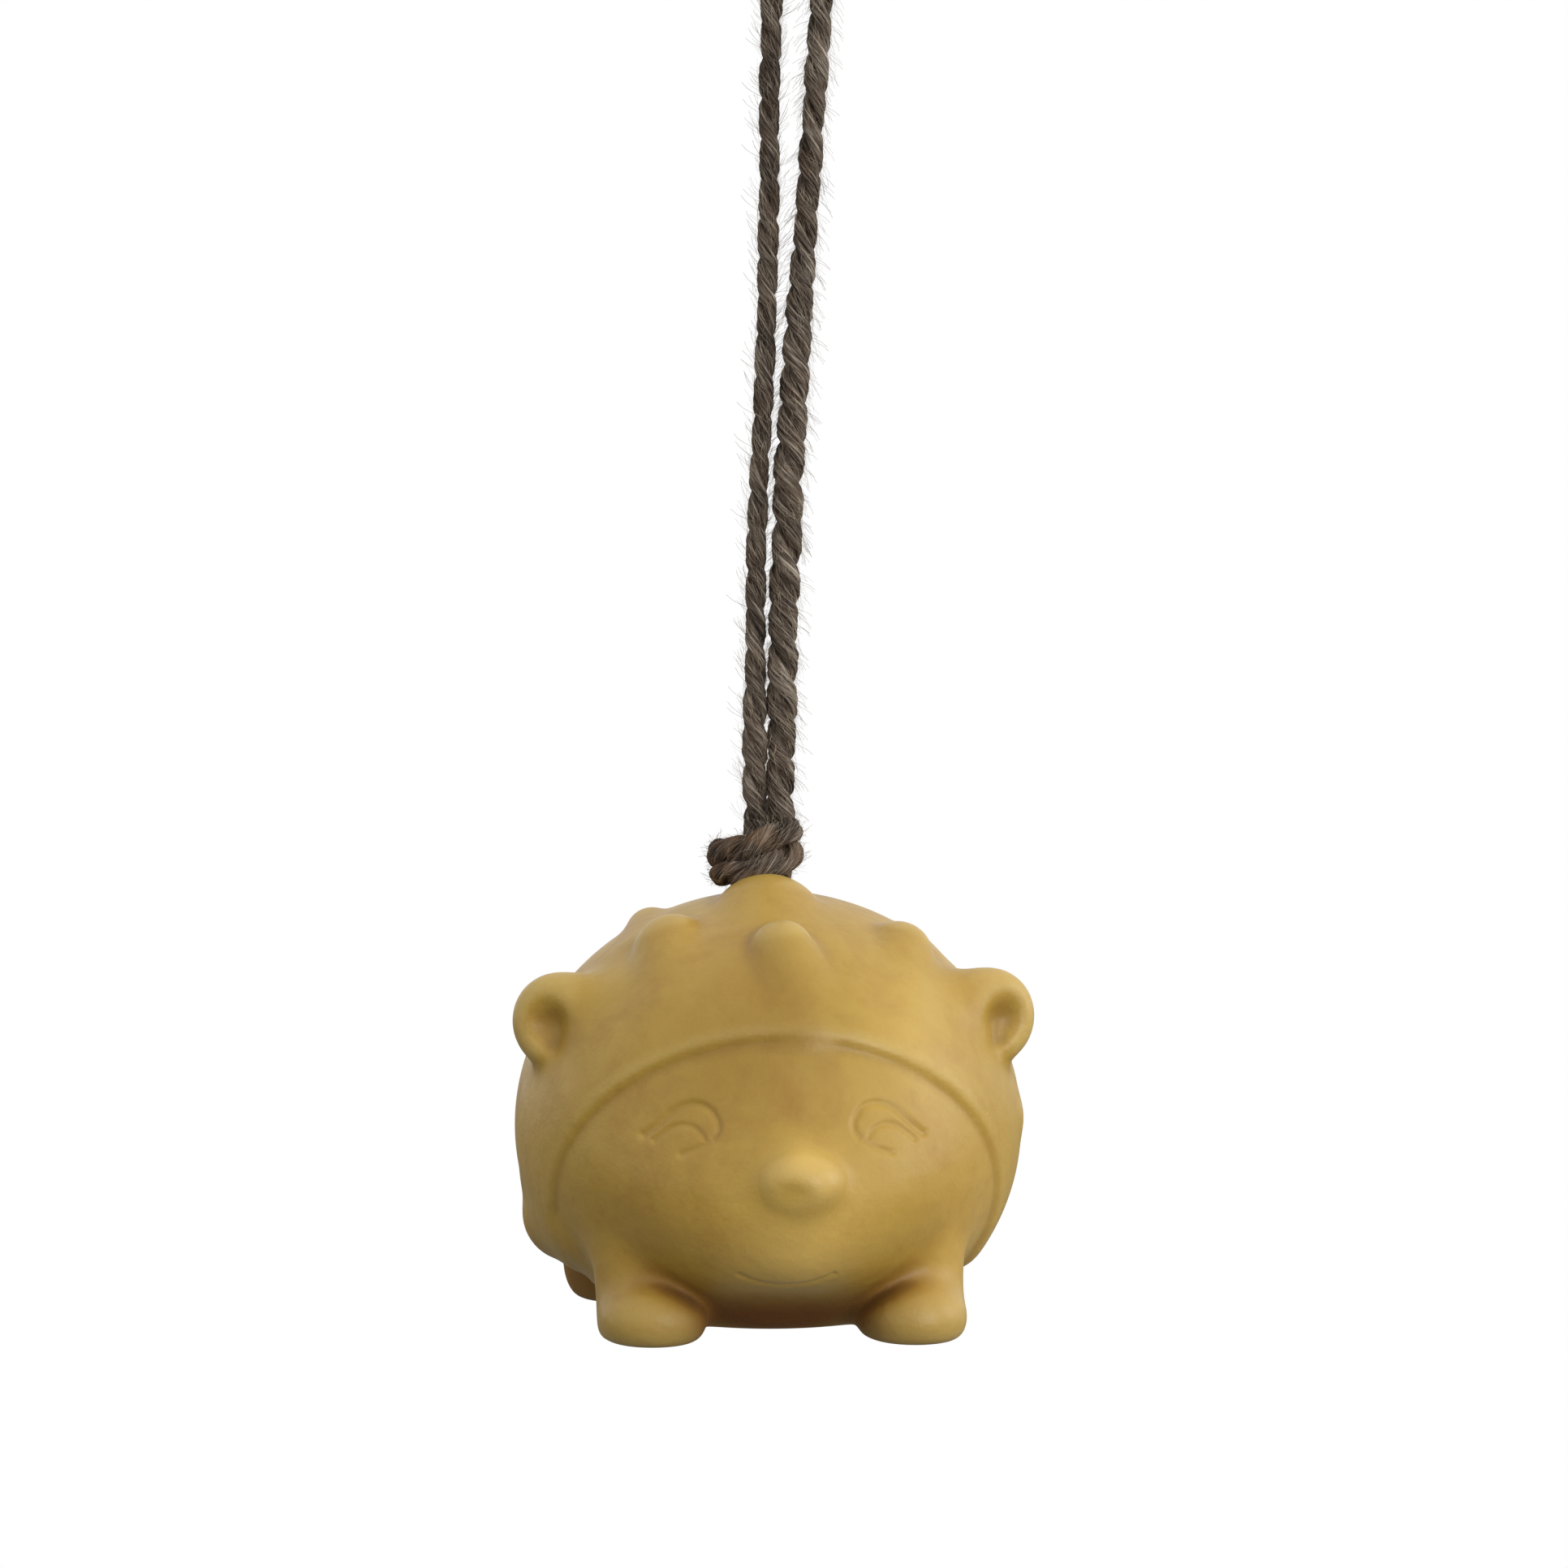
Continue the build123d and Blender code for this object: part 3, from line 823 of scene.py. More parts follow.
def looked_up(cells, places):
    """The values between cells, at places given in cells."""
    low = np.floor(places).astype(int)
    share = places - low
    total = np.zeros(len(places))
    for corner in np.ndindex(2, 2, 2):
        at = [np.clip(low[:, a] + corner[a], 0, cells.shape[a] - 1) for a in range(3)]
        weight = np.prod([share[:, a] if corner[a] else 1 - share[:, a] for a in range(3)], axis=0)
        total += weight * cells[tuple(at)]
    return total


def painted_occlusion_at(block, points, normals):
    """How much clay stands near each point of the surface, just in front of it."""
    skip = max(1, int(round(OCCLUSION_STEP / block.step)))
    size = skip * block.step
    filled = np.clip(0.5 - block.distance[::skip, ::skip, ::skip] / size, 0, 1)
    origin = np.array([axis[0] for axis in block.axes])
    total = np.zeros(len(points))
    for reach in OCCLUSION_REACHES:
        total += looked_up(blurred(filled, reach / size), (points + normals * reach - origin) / size)
    return total / len(OCCLUSION_REACHES)


normals = np.empty(len(points) * 3)
body_mesh.vertex_normals.foreach_get("vector", normals)
shelter = painted_occlusion_at(clay, points, normals.reshape(-1, 3))
mark(body_mesh, "shelter", shelter)
LOOKED_AT = {"brow": (0, -26, 33), "chest": (0, -22, 4), "ear": (-26, -13, 37), "foot top": (15, -26, 7)}
for name, place in LOOKED_AT.items():
    nearest = np.argmin(((points - place) ** 2).sum(1))
    print("shelter at", name, round(float(shelter[nearest]), 2))

# %% [markdown]
# ## Painted light and shade in spots
#
# Light and shade are also painted in soft spots. The chin, the nose and the right of the brow get painted
# light, and the forehead, the chest and a rear leg get painted shade. Each spot is a soft ball in space.

# %% Place the painted light and shade spots
# Each spot: its centre, its size, and how much painted light (above zero) or painted shade (below zero) it has.
PAINTED_SPOTS = (
    ((1.0, -37.0, 10.5), 8.5, 0.9),
    ((1.5, -38.0, 23.2), 3.2, 0.6),
    ((16.0, -24.0, 38.0), 9.0, 0.35),
    ((24.0, -14.0, 12.0), 12.0, 0.4),
    ((-4.0, -26.0, 30.0), 11.0, -0.35),
    ((0.0, -24.0, 40.0), 8.0, -0.25),
    ((0.0, -22.0, 1.5), 8.5, -1.0),
    ((-8.0, -22.0, 4.0), 6.5, -0.6),
    ((8.0, -22.0, 4.0), 6.5, -0.6),
    ((-29.0, -8.0, 22.0), 10.0, 0.3),
    ((0.0, -26.5, 24.5), 5.0, 0.15),
    ((-15.5, -24.0, 3.0), 9.0, -0.2),
    ((15.5, -24.0, 3.0), 9.0, -0.15),
    ((-22.0, 12.0, 5.0), 11.0, -1.0),
)


def painted_spots_at(points):
    """How much painted light, above zero, or painted shade, below zero, each point gets."""
    total = np.zeros(len(points))
    for centre, size, strength in PAINTED_SPOTS:
        total += strength * np.exp(-((points - centre) ** 2).sum(1) / size**2)
    return total


patch = painted_spots_at(points)
mark(body_mesh, "patch", patch)
print("patches from", round(float(patch.min()), 2), "to", round(float(patch.max()), 2))

# %% [markdown]
# ## The lines of the face
#
# Eyes and mouth are only pressed lines, finer than the clay's cells. So the faces around them are divided
# first, and then each point sinks by a few tenths of a millimetre where a line passes in front of it. A line
# is a row of points seen from the front, with its corners rounded off. The eyes mirror each other: a lid that
# hooks round at the inner corner, the edge of the iris under it, and a short lower line.

# %% Rows of points for eyes and mouth
LID = (
    (16.6, 25.2), (15.4, 26.1), (14.2, 27.2), (13.0, 28.3), (11.6, 29.0),
    (10.0, 29.1), (8.8, 28.5), (8.0, 27.3), (7.9, 26.2), (8.6, 25.2),
)
LOWER_LID = ((8.6, 25.2), (9.6, 24.5), (10.8, 23.9), (12.4, 23.3))
IRIS = ((15.4, 24.7), (14.4, 25.5), (13.2, 26.4), (11.9, 26.7), (10.7, 26.4), (9.9, 25.7), (9.5, 24.9))
SMILE = ((-5.6, 9.2), (-4.4, 8.6), (-3.0, 8.1), (-1.0, 7.8), (1.0, 7.8), (3.0, 8.1), (4.4, 8.6), (5.6, 9.2))
# Each line: its points, its width, its depth, and whether the other side of the face has it too.
FACE_LINES = (
    (LID, 0.9, 0.32, True),
    (LOWER_LID, 0.8, 0.24, True),
    (IRIS, 0.8, 0.22, True),
    (SMILE, 0.6, 0.2, False),
)


# The lines are pressed only where the surface lies in front of this place.
FACE_STARTS = -12


def rounded_row(row):
    """A row of points with its corners cut twice."""
    row = np.array(row, float)
    for _ in range(2):
        first, second = row[:-1], row[1:]
        between = np.stack([first * 0.75 + second * 0.25, first * 0.25 + second * 0.75], 1).reshape(-1, 2)
        row = np.concatenate([row[:1], between, row[-1:]])
    return row


def nearest_on_row(row, x, z):
    """How far each place is from a row of points, seen from the front."""
    nearest = np.full(x.shape, 1e3)
    for (x0, z0), (x1, z1) in zip(row[:-1], row[1:]):
        dx, dz = x1 - x0, z1 - z0
        share = np.clip(((x - x0) * dx + (z - z0) * dz) / (dx * dx + dz * dz), 0, 1)
        nearest = np.minimum(nearest, np.hypot(x - x0 - dx * share, z - z0 - dz * share))
    return nearest


def face_line_depth(places):
    """How far the lines sink each place of the surface, and how far off the nearest line is."""
    depth, nearest = np.zeros(len(places)), np.full(len(places), 1e3)
    in_front = places[:, 1] < FACE_STARTS
    for row, width, deep, mirrored in FACE_LINES:
        x = np.abs(places[:, 0]) if mirrored else places[:, 0]
        off = nearest_on_row(rounded_row(row), x, places[:, 2])
        depth = np.maximum(depth, deep * np.exp(-((off / (width / 2)) ** 2)))
        nearest = np.minimum(nearest, off)
    return depth * in_front, np.where(in_front, nearest, 1e3)


# %% Divide the faces there, and press the lines
FINE_WITHIN = 1.1


def places_of(mesh):
    """The mesh's points in the figure's own frame, in millimetres."""
    places = np.empty(len(mesh.vertices) * 3)
    mesh.vertices.foreach_get("co", places)
    return places.reshape(-1, 3) / MM - FIGURE_ORIGIN


def press_face_lines(mesh):
    """Fine faces along the lines, sunk to their depth."""
    off = face_line_depth(places_of(mesh))[1]
    shape = bmesh.new()
    shape.from_mesh(mesh)
    shape.verts.ensure_lookup_table()
    near = [e for e in shape.edges if max(off[v.index] for v in e.verts) < FINE_WITHIN]
    bmesh.ops.subdivide_edges(shape, edges=near, cuts=1, use_grid_fill=True)
    shape.normal_update()
    normals = np.array([v.normal for v in shape.verts])
    shape.to_mesh(mesh)
    shape.free()
    depth = face_line_depth(places_of(mesh))[0] * MM
    points = (places_of(mesh) + FIGURE_ORIGIN) * MM - normals * depth[:, None]
    mesh.vertices.foreach_set("co", points.ravel())
    mesh.update()


press_face_lines(body_mesh)
print("with face lines:", len(body_mesh.vertices), "points")

# %% [markdown]
# ## Fewer triangles
#
# The grid puts the same small faces everywhere. A Decimate modifier thins them where the surface is calm. A
# vertex group keeps it away from the lines of the face.

# %% Thin the mesh
CALM_BEYOND = 1.5


def evaluated_mesh(piece):
    """A plain mesh of a piece as its modifiers leave it."""
    bpy.context.view_layer.update()
    return bpy.data.meshes.new_from_object(piece.evaluated_get(bpy.context.evaluated_depsgraph_get()))


def thin(piece, limit):
    """Bring a piece under a number of triangles, and apply it."""
    count = triangle_count(piece.data)
    if count <= limit:
        return
    calm = np.nonzero(face_line_depth(places_of(piece.data))[1] > CALM_BEYOND)[0]
    group = piece.vertex_groups.new(name="calm")
    group.add(calm.tolist(), 1.0, "REPLACE")
    modifier = piece.modifiers.new("thin", "DECIMATE")
    modifier.ratio = limit / count
    modifier.vertex_group = "calm"
    modifier.vertex_group_factor = 1.0
    mesh = evaluated_mesh(piece)
    piece.modifiers.clear()
    piece.vertex_groups.clear()
    old = piece.data
    piece.data = mesh
    bpy.data.meshes.remove(old)
    mesh.name = piece.name


thin(casting, TRIANGLE_LIMIT)
casting.data.shade_smooth()
print("casting:", triangle_count(casting.data), "triangles")

# %% [markdown]
# ## Writing node trees as sums
#
# Blender's nodes are easy to read as a picture and hard to read as a script. A small class lets a node's
# output be added and multiplied like a number, so a recipe stays one line long. Materials, the world and the
# fibres' Geometry Nodes are all written with it.

# %% A socket that can be calculated with
class Value:
    """One output of a node."""

    def __init__(self, recipe, socket):
        self.recipe, self.socket = recipe, socket

    def other(self, name):
        """Another output of the same node."""
        return Value(self.recipe, self.socket.node.outputs[name])

    def reckon(self, operation, first, second):
        """One Math node."""
        return self.recipe.node("ShaderNodeMath", {"operation": operation}, {0: first, 1: second})

    def __add__(self, other):
        return self.reckon("ADD", self, other)

    def __sub__(self, other):
        return self.reckon("SUBTRACT", self, other)

    def __rsub__(self, other):
        return self.reckon("SUBTRACT", other, self)

    def __mul__(self, other):
        return self.reckon("MULTIPLY", self, other)

    def __pow__(self, other):
        return self.reckon("POWER", self, other)

    __radd__ = __add__
    __rmul__ = __mul__

    def clamped(self, low=0.0, high=1.0):
        """The value, spread from between two limits to between zero and one."""
        sockets = {"Value": self, "From Min": low, "From Max": high}
        return self.recipe.node("ShaderNodeMapRange", {"clamp": True}, sockets)


# %% A node tree that is filled line by line
class Recipe:
    """The nodes of one tree."""

    def __init__(self, tree):
        self.tree = tree
        tree.nodes.clear()

    def node(self, kind, settings=None, sockets=None, output=0):
        """One node: its settings first, then its sockets, as values or as outputs of other nodes."""
        made = self.tree.nodes.new(kind)
        for name, setting in (settings or {}).items():
            if name == "stops":
                ramp = made.color_ramp
                while len(ramp.elements) < len(setting):
                    ramp.elements.new(0.5)
                for element, (place, shade) in zip(ramp.elements, setting):
                    element.position = place
                    element.color = shade
            else:
                setattr(made, name, setting)
        for name, given in (sockets or {}).items():
            if isinstance(given, Value):
                self.tree.links.new(given.socket, made.inputs[name])
            else:
                made.inputs[name].default_value = given
        return Value(self, made.outputs[output]) if made.outputs else made

    def white_to(self, share, lit, kind="ShaderNodeEmission"):
        """Plain white for a share, and what is lit for the rest."""
        white = self.node(kind, {}, {"Color": (1, 1, 1, 1), "Strength": 1.0})
        return self.node("ShaderNodeMixShader", {}, {0: share, 1: lit, 2: white})


# %% A material's nodes, and colours as an image program gives them
BUMP_DEPTH = 0.3 * MM


class Finish(Recipe):
    """The nodes of one material."""

    def __init__(self, name):
        self.material = bpy.data.materials.new(name)
        self.material.use_nodes = True
        super().__init__(self.material.node_tree)

    def place(self):
        """The place on the piece, in metres."""
        return self.node("ShaderNodeTexCoord", {}, {}, output="Object")

    def marked(self, name):
        """What was marked on the mesh under a name."""
        return self.node("ShaderNodeAttribute", {"attribute_name": name}, {}, output="Fac")

    def mix(self, share, first, second, blend="MIX"):
        """Two colours mixed by a share."""
        colours = {"Factor": share, 6: first, 7: second}
        return self.node("ShaderNodeMix", {"data_type": "RGBA", "blend_type": blend}, colours, output=2)

    def noise(self, place, scale, detail=2.0, roughness=0.5, distortion=0.0):
        """Soft noise, from zero to one."""
        sockets = {
            "Vector": place, "Scale": scale, "Detail": detail, "Roughness": roughness, "Distortion": distortion,
        }
        return self.node("ShaderNodeTexNoise", {}, sockets)

    def bump(self, height, strength):
        """A bumpy surface."""
        sockets = {"Strength": strength, "Distance": BUMP_DEPTH, "Height": height}
        return self.node("ShaderNodeBump", {}, sockets)

    def principled(self, **sockets):
        """The finished material. A socket's spaces are written as underscores."""
        named = {name.replace("_", " "): given for name, given in sockets.items()}
        return self.done(self.node("ShaderNodeBsdfPrincipled", {}, named))

    def done(self, shader):
        """Join the shader to the output, and hand over the material."""
        self.node("ShaderNodeOutputMaterial", {}, {"Surface": shader})
        return self.material


def colour(red, green, blue):
    """A colour as an image program gives it, from 0 to 255, as the shader wants it."""
    shares = [v / 255 for v in (red, green, blue)]
    return (*(v / 12.92 if v <= 0.04045 else ((v + 0.055) / 1.055) ** 2.4 for v in shares), 1.0)


# %% [markdown]
# ## The casting's mass
#
# The mass is a satin ochre, like soap or hard wax: a little light goes in and comes out again nearby. Its
# colour isn't even: broad soft patches lean to tan, and a very fine grain breaks up the gloss. Light and shade
# are painted in as well: paler on ridges, deeper and browner in hollows and sheltered places, and in spots.

# %% Satin ochre
def satin_ochre():
    """The casting's finish."""
    finish = Finish("satin_ochre")
    place = finish.place()
    relief, shelter, patch = (finish.marked(name) for name in ("relief", "shelter", "patch"))
    # The painted shade spots, which also make the surface rougher and less glossy.
    painted_shade_spots = patch * -1
    patches = finish.noise(place, 55.0, detail=2.0, roughness=0.45).clamped(0.3, 0.7)
    clouds = finish.noise(place, 190.0, detail=3.0, roughness=0.6).clamped(0.3, 0.7)
    stains = finish.noise(place, 110.0, detail=4.0, roughness=0.65, distortion=0.3).clamped(0.5, 0.72)
    ripples = finish.noise(place, 420.0, detail=3.0, roughness=0.55)
    grain = finish.noise(place, 2600.0, detail=2.0, roughness=0.6)
    layers = (
        (patches * 0.6, colour(183, 145, 67)),
        (clouds * 0.5, colour(166, 130, 50)),
        (stains * 0.45, colour(152, 108, 34)),
        # Painted highlight on the ridges and painted shade in the hollows, both from the relief.
        (relief.clamped(0.12, 0.6) * 0.4, colour(212, 188, 120)),
        ((relief * -1).clamped(0.02, 0.8) * 0.5, colour(128, 88, 28)),
        # Painted light in the pale spots and painted shade in the brown spots.
        (patch.clamped(0.0, 1.0) * 0.8, colour(226, 190, 104)),
        (painted_shade_spots.clamped(0.0, 1.2), colour(104, 62, 10)),
        # Painted shade where clay shelters the surface: under the chin, between the legs, in the ears.
        (shelter.clamped(0.2, 0.36) * 0.55, colour(132, 86, 22)),
        (shelter.clamped(0.3, 0.5) * 0.8, colour(58, 32, 10)),
    )
    body = colour(180, 148, 60)
    for share, tint in layers:
        body = finish.mix(share, body, tint)
    speck = finish.mix((grain - 0.5) * 0.5 + 0.5, (0.93, 0.93, 0.93, 1), (1.07, 1.07, 1.07, 1))
    return finish.principled(
        Base_Color=finish.mix(1.0, body, speck, blend="MULTIPLY"),
        Roughness=0.44 + 0.08 * clouds + 0.4 * painted_shade_spots.clamped(0.2, 1.0),
        IOR=1.45,
        Specular_IOR_Level=0.42,
        Subsurface_Weight=0.25,
        Subsurface_Radius=(1.0, 0.55, 0.2),
        Subsurface_Scale=0.0016,
        Coat_Weight=0.18 * (1 - painted_shade_spots.clamped(0.0, 0.6)),
        Coat_Roughness=0.3,
        Normal=finish.bump(grain * 0.2 + clouds * 0.5 + ripples, 0.45),
    )


casting.data.materials.clear()
casting.data.materials.append(satin_ochre())

# %% [markdown]
# ## Jute
#
# Jute is grey-brown, coarse and dull. Its finish paints shade into the long dark gaps between its fibres, and a
# highlight onto single fibres. The pattern has to follow the plies, so it reads the UV map that the twine was
# made with: thin across the fibres and long along them.

# %% Jute finish
def jute(name, warmth):
    """The twine's finish, from grey to warm brown."""
    finish = Finish(name)
    flat = finish.node("ShaderNodeUVMap", {"uv_map": "UVMap"}, {})

    def drawn_out(slant, scale, **noise):
        """Noise drawn out along the ply."""
        sockets = {"Vector": flat, "Rotation": (0.0, 0.0, slant), "Scale": scale}
        return finish.noise(finish.node("ShaderNodeMapping", {}, sockets), 1.0, roughness=0.6, **noise)

    threads = drawn_out(0.18, (3.4, 0.24, 1.0), detail=3.0, distortion=0.4)
    fibres = drawn_out(0.10, (9.0, 0.5, 1.0), detail=2.0, distortion=0.3)
    level = threads * 0.62 + fibres * 0.42 + finish.marked("tone") * 0.05
    # The ramp gives the fibres' own grey-brown, with painted shade in the gaps and a painted highlight on
    # single fibres.
    shade = finish.node("ShaderNodeValToRGB", {"stops": (
        (0.40, colour(14, 10, 7)),
        (0.48, colour(54, 45, 38)),
        (0.57, colour(103, 91, 80)),
        (0.68, colour(184, 173, 159)),
    )}, {"Fac": level})
    patches = finish.noise(finish.place(), 260.0, detail=1.0).clamped(0.45, 0.65)
    return finish.principled(
        Base_Color=finish.mix(patches * warmth, shade, colour(118, 84, 54)),
        Roughness=0.78 + 0.15 * fibres,
        Specular_IOR_Level=0.25,
        Normal=finish.bump(threads * 0.6 + fibres * 0.5, 0.55),
    )


jute_grey = jute("jute_grey", 0.12)
jute_warm = jute("jute_warm", 0.4)
loop.data.materials.append(jute_grey)
for piece in (knot, anchor, *core_strands, *bore_strands):
    piece.data.materials.append(jute_warm)

# %% [markdown]
# ## Loose fibres
#
# What makes jute look like jute is the fibres that stand off it. Thousands of single hairs are the kind of
# thing that Geometry Nodes are for: points are scattered over the twine, and one short bent hair is put on
# each of them. Each hair lies along its ply, because the twine carries that direction in an attribute, and
# then lifts off by a random angle. Most hairs hardly lift, and a few stand out.

# %% A node tree for loose fibres
HAIR_INPUTS = {
    "Geometry": "Geometry", "Density": "Float", "Length": "Float", "Thickness": "Float", "Lift": "Float",
    "Seed": "Int", "Finish": "Material",
}
HAIR_BEND = {
    "Resolution": 4,
    "Start": (0.0, 0.0, 0.0),
    "Start Handle": (0.0, 0.02, 0.35),
    "End Handle": (0.16, -0.05, 0.65),
    "End": (0.22, 0.12, 1.0),
}
HAIR_SIDES = 3
LIFT_POWER = 9.0
SIDEWAYS = 0.6
SHORTEST = 0.35
WIDEST = 0.7


def hair_tree():
    """Geometry Nodes that cover a piece of twine with loose fibres."""
    tree = bpy.data.node_groups.new("loose_fibres", "GeometryNodeTree")
    for name, kind in HAIR_INPUTS.items():
        tree.interface.new_socket(name, in_out="INPUT", socket_type="NodeSocket" + kind)
    tree.interface.new_socket("Geometry", in_out="OUTPUT", socket_type="NodeSocketGeometry")
    recipe = Recipe(tree)
    node = recipe.node
    given = node("NodeGroupInput")
    density, length, thickness, lift, seed, finish = (given.other(name) for name in list(HAIR_INPUTS)[1:])

    def random_value(low, high, offset):
        """A random number for each hair."""
        own_seed = node("FunctionNodeIntegerMath", {"operation": "ADD"}, {0: seed, 1: offset})
        sockets = {2: low, 3: high, "Seed": own_seed}
        return node("FunctionNodeRandomValue", {"data_type": "FLOAT"}, sockets, output=1)

    bend = node("GeometryNodeCurvePrimitiveBezierSegment", {}, HAIR_BEND)
    profile = node("GeometryNodeCurvePrimitiveCircle", {}, {"Resolution": HAIR_SIDES, "Radius": thickness})
    hair = node("GeometryNodeCurveToMesh", {}, {"Curve": bend, "Profile Curve": profile})
    scatter = node(
        "GeometryNodeDistributePointsOnFaces", {"distribute_method": "RANDOM"},
        {"Mesh": given, "Density": density, "Seed": seed}, output="Points",
    )
    grain = node("GeometryNodeInputNamedAttribute", {"data_type": "FLOAT_VECTOR"}, {"Name": "grain"})
    lie = node("FunctionNodeAlignRotationToVector", {"axis": "Z"}, {"Vector": grain})
    face = node("FunctionNodeAlignRotationToVector", {"axis": "X", "pivot_axis": "Z"}, {
        "Rotation": lie, "Vector": scatter.other("Normal"),
    })
    lifted = random_value(0.0, 1.0, 1) ** LIFT_POWER * lift
    turn = node("ShaderNodeCombineXYZ", {}, {"X": random_value(-SIDEWAYS, SIDEWAYS, 2), "Y": lifted, "Z": 0.0})
    turned = node("FunctionNodeRotateRotation", {"rotation_space": "LOCAL"}, {
        0: face, 1: node("FunctionNodeEulerToRotation", {}, {0: turn}),
    })
    size = random_value(SHORTEST, 1.0, 3) * length
    across = random_value(-WIDEST, WIDEST, 4) * size
    placed = node("GeometryNodeInstanceOnPoints", {}, {
        "Points": scatter,
        "Instance": hair,
        "Rotation": turned,
        "Scale": node("ShaderNodeCombineXYZ", {}, {"X": across, "Y": size, "Z": size}),
    })
    real = node("GeometryNodeRealizeInstances", {}, {0: placed})
    dressed = node("GeometryNodeSetMaterial", {}, {"Geometry": real, "Material": finish})
    node("NodeGroupOutput", {}, {0: dressed})
    return tree


# %% Grow the loose fibres
def loose_hair_finish():
    """Single fibres, paler than the twine."""
    finish = Finish("loose_fibre")
    spots = finish.noise(finish.place(), 420.0, detail=1.0).clamped(0.35, 0.65)
    shade = finish.mix(spots, colour(122, 106, 88), colour(188, 174, 152))
    return finish.principled(Base_Color=shade, Roughness=0.6 + 0.2 * spots, Specular_IOR_Level=0.3)


FIBRE_TREE = hair_tree()
FIBRE_FINISH = loose_hair_finish()
FIBRE_THICKNESS = 0.022 * MM


def loose_fibres(name, source, density, length, lift, seed):
    """Loose fibres on a piece of twine, as a mesh of their own."""
    holder = put_in_scene(name, source.data)
    modifier = holder.modifiers.new("fibres", "NODES")
    modifier.node_group = FIBRE_TREE
    wanted = {
        "Density": density, "Length": length, "Thickness": FIBRE_THICKNESS / length, "Lift": lift,
        "Seed": seed, "Finish": FIBRE_FINISH,
    }
    for item in FIBRE_TREE.interface.items_tree:
        if item.in_out == "INPUT" and item.name in wanted:
            modifier[item.identifier] = wanted[item.name]
    mesh = evaluated_mesh(holder)
    bpy.data.objects.remove(holder)
    mesh.name = name
    print(name, triangle_count(mesh), "triangles")
    return put_in_scene(name, mesh)


loop_fibres = loose_fibres("loop_fibres", loop, density=2.6e6, length=3.8 * MM, lift=0.22, seed=5)
knot_fibres = loose_fibres("knot_fibres", knot, density=2.8e6, length=2.6 * MM, lift=0.35, seed=6)

# %% [markdown]
# ## Floor, background and light
#
# The photograph shows the figure hanging in front of plain white. The floor lies five centimetres under it,
# so that its soft shadow falls below the picture. Camera rays see the world and the far floor as white.
#
# The photograph lets the top of the loop fade out to white. Here the whole loop shows, because the real
# cord doesn't end there, and a finish mustn't depend on where the camera stands.

# %% Floor and white background
FLOOR_DROP = 0.05
FLOOR_RADIUS = 2.5
FLOOR_CORNERS = 96
FLOOR_NEAR, FLOOR_FAR = 0.05, 0.16


def pale_floor_finish():
    """A pale floor that is lit near the object and plain white to the camera farther off."""
    finish = Finish("pale_floor")
    away = finish.node("ShaderNodeVectorMath", {"operation": "LENGTH"}, {0: finish.place()}, output="Value")
    seen = finish.node("ShaderNodeLightPath", {}, {}, output="Is Camera Ray")
    lit = finish.node("ShaderNodeBsdfDiffuse", {}, {"Color": (0.22, 0.22, 0.22, 1)})
    return finish.done(finish.white_to(seen * (0.55 + 0.45 * away.clamped(FLOOR_NEAR, FLOOR_FAR)), lit))


def add_floor():
    """A wide round floor below the hanging figure."""
    height = body_low.z - FLOOR_DROP
    mesh = bpy.data.meshes.new("floor")
    angles = np.linspace(0, 2 * math.pi, FLOOR_CORNERS, endpoint=False)
    ring = [(FLOOR_RADIUS * math.cos(a), FLOOR_RADIUS * math.sin(a), height) for a in angles]
    mesh.from_pydata(ring, [], [tuple(range(FLOOR_CORNERS))])
    mesh.materials.append(pale_floor_finish())
    floor = put_in_scene("floor", mesh)
    return floor


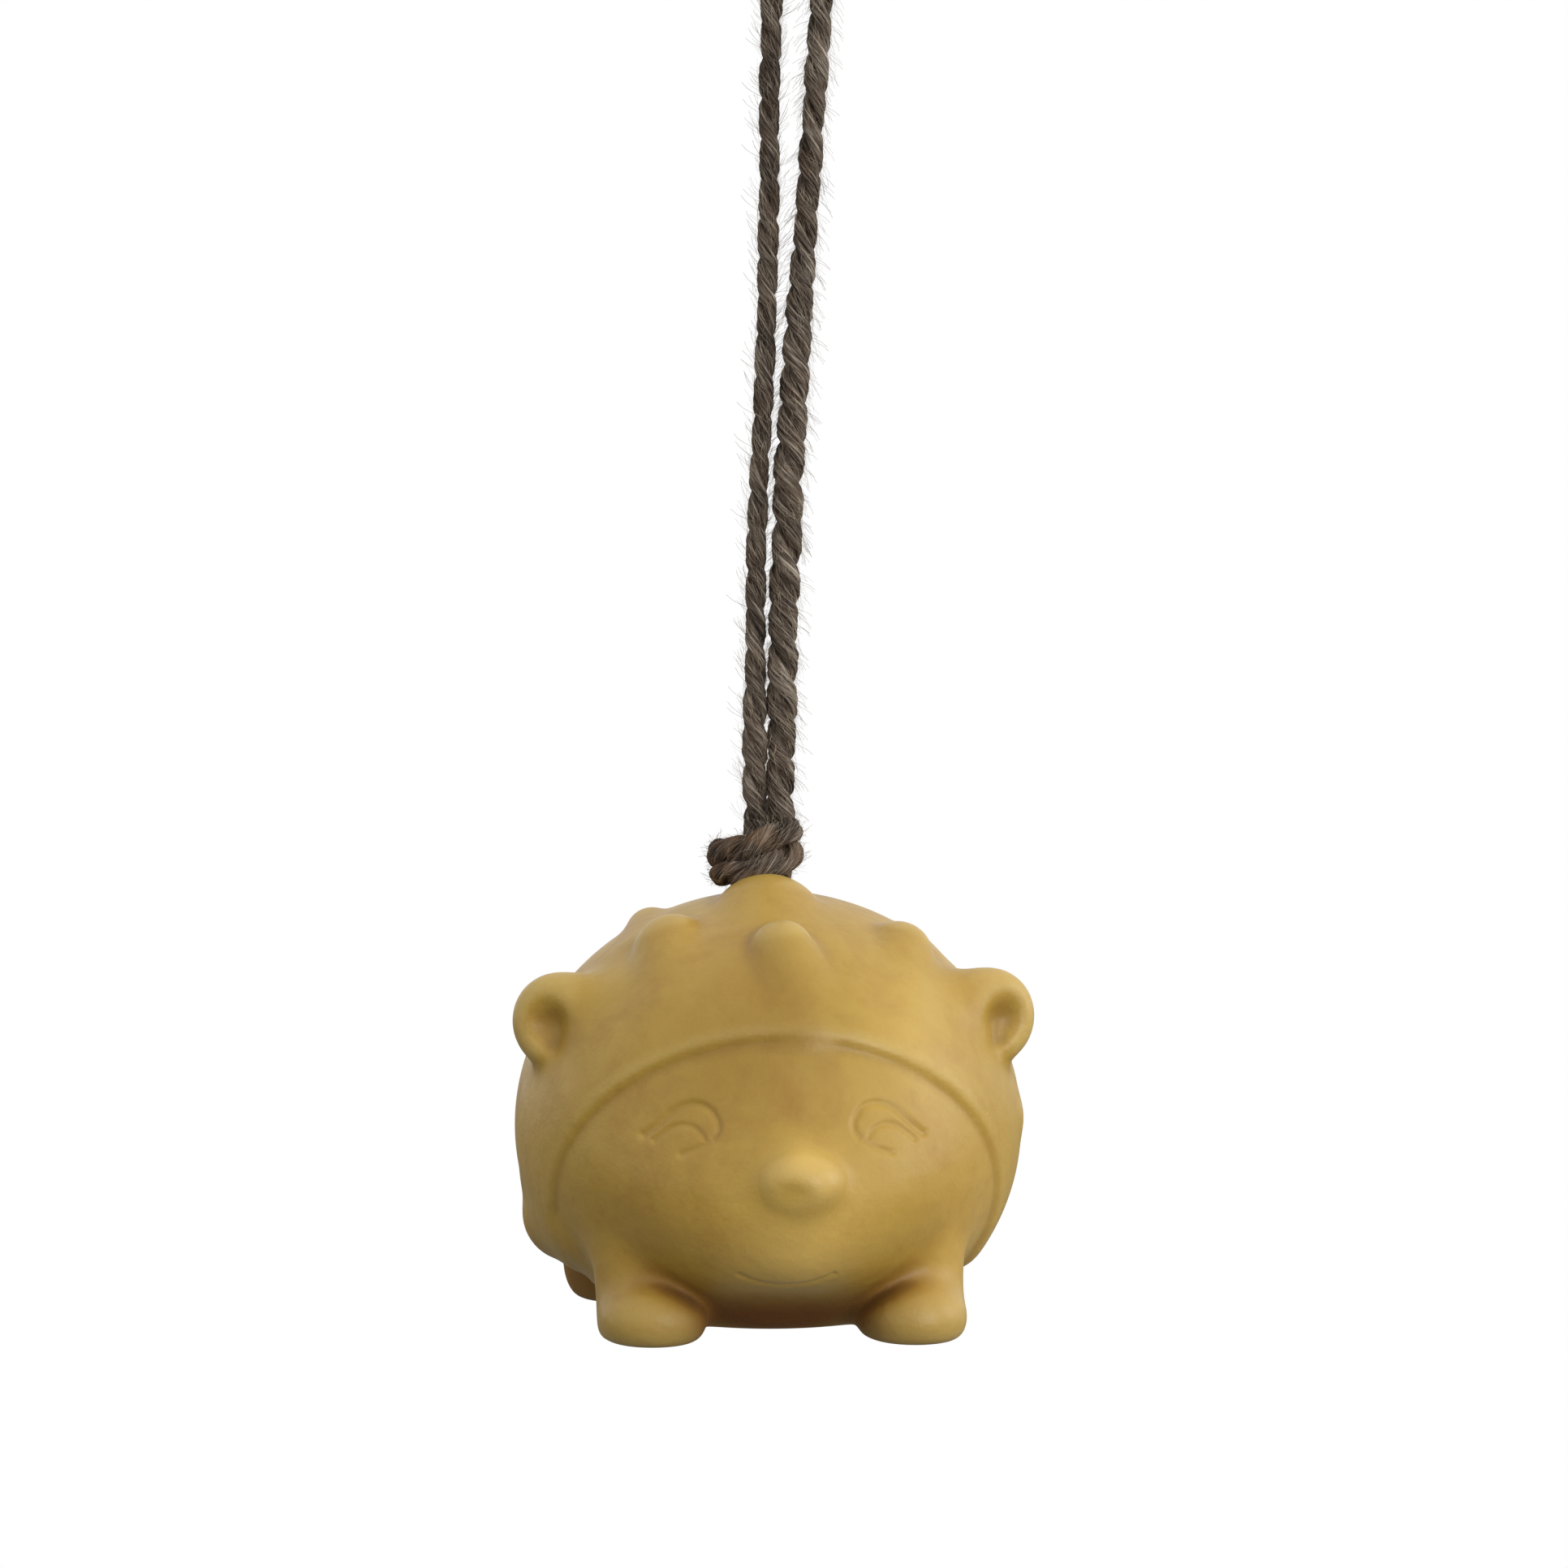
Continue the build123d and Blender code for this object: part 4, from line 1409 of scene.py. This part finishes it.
def add_world():
    """White to the camera and to gloss, and a soft light from above to everything else."""
    world = bpy.data.worlds.new("studio")
    world.use_nodes = True
    recipe = Recipe(world.node_tree)
    rays = recipe.node("ShaderNodeLightPath", {}, {}, output="Is Camera Ray")
    straight = rays.reckon("MAXIMUM", rays, rays.other("Is Transmission Ray"))
    white_share = rays.reckon("MAXIMUM", straight, rays.other("Is Glossy Ray"))
    place = recipe.node("ShaderNodeTexCoord", {}, {}, output="Generated")
    height = recipe.node("ShaderNodeSeparateXYZ", {}, {"Vector": place}, output="Z")
    brightness = recipe.node("ShaderNodeMapRange", {"clamp": True}, {
        "Value": height, "From Min": -0.5, "From Max": 0.6, "To Min": 0.12, "To Max": 0.95,
    })
    soft = recipe.node("ShaderNodeBackground", {}, {"Color": (1.0, 0.985, 0.97, 1), "Strength": brightness})
    sky = recipe.white_to(white_share, soft, "ShaderNodeBackground")
    recipe.node("ShaderNodeOutputWorld", {}, {"Surface": sky})
    bpy.context.scene.world = world


add_floor()
add_world()
bpy.context.scene.view_settings.view_transform = "Standard"

# %% [markdown]
# ## Lamps
#
# Two broad lamps light the figure: one from the front on the right, and a weaker one from the right side.
# They stay at a plain level, at which the ochre comes out as it is written.

# %% Lamps
LIT_POINT = Vector((0.0, 0.0, -0.14))
LAMP_SIZE = 0.45


def add_lamp(name, place, power):
    """A soft square lamp that looks at the figure."""
    data = bpy.data.lights.new(name, "AREA")
    data.shape = "SQUARE"
    data.size = LAMP_SIZE
    data.energy = power
    lamp = put_in_scene(name, data)
    lamp.location = place
    lamp.rotation_euler = (LIT_POINT - Vector(place)).to_track_quat("-Z", "Y").to_euler()
    return lamp


add_lamp("key", (0.4, -0.7, 0.02), 2.75)
add_lamp("side", (0.8, -0.05, 0.1), 1.8)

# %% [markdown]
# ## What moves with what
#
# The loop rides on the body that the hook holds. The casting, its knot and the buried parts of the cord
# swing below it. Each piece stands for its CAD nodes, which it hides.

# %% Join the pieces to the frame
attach(casting, "figure")
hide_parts("hedgehog_body")

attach(loop, "cord")
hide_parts("hanging_loop")
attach(loop_fibres, "cord")
for piece in (knot, knot_fibres, anchor, *core_strands, *bore_strands):
    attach(piece, "figure")
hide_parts("knot_wrap")
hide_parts("knot_core")
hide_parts("bore_strand_left")
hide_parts("bore_strand_right")
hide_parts("anchor_knot")

tuple(loop_line[0])
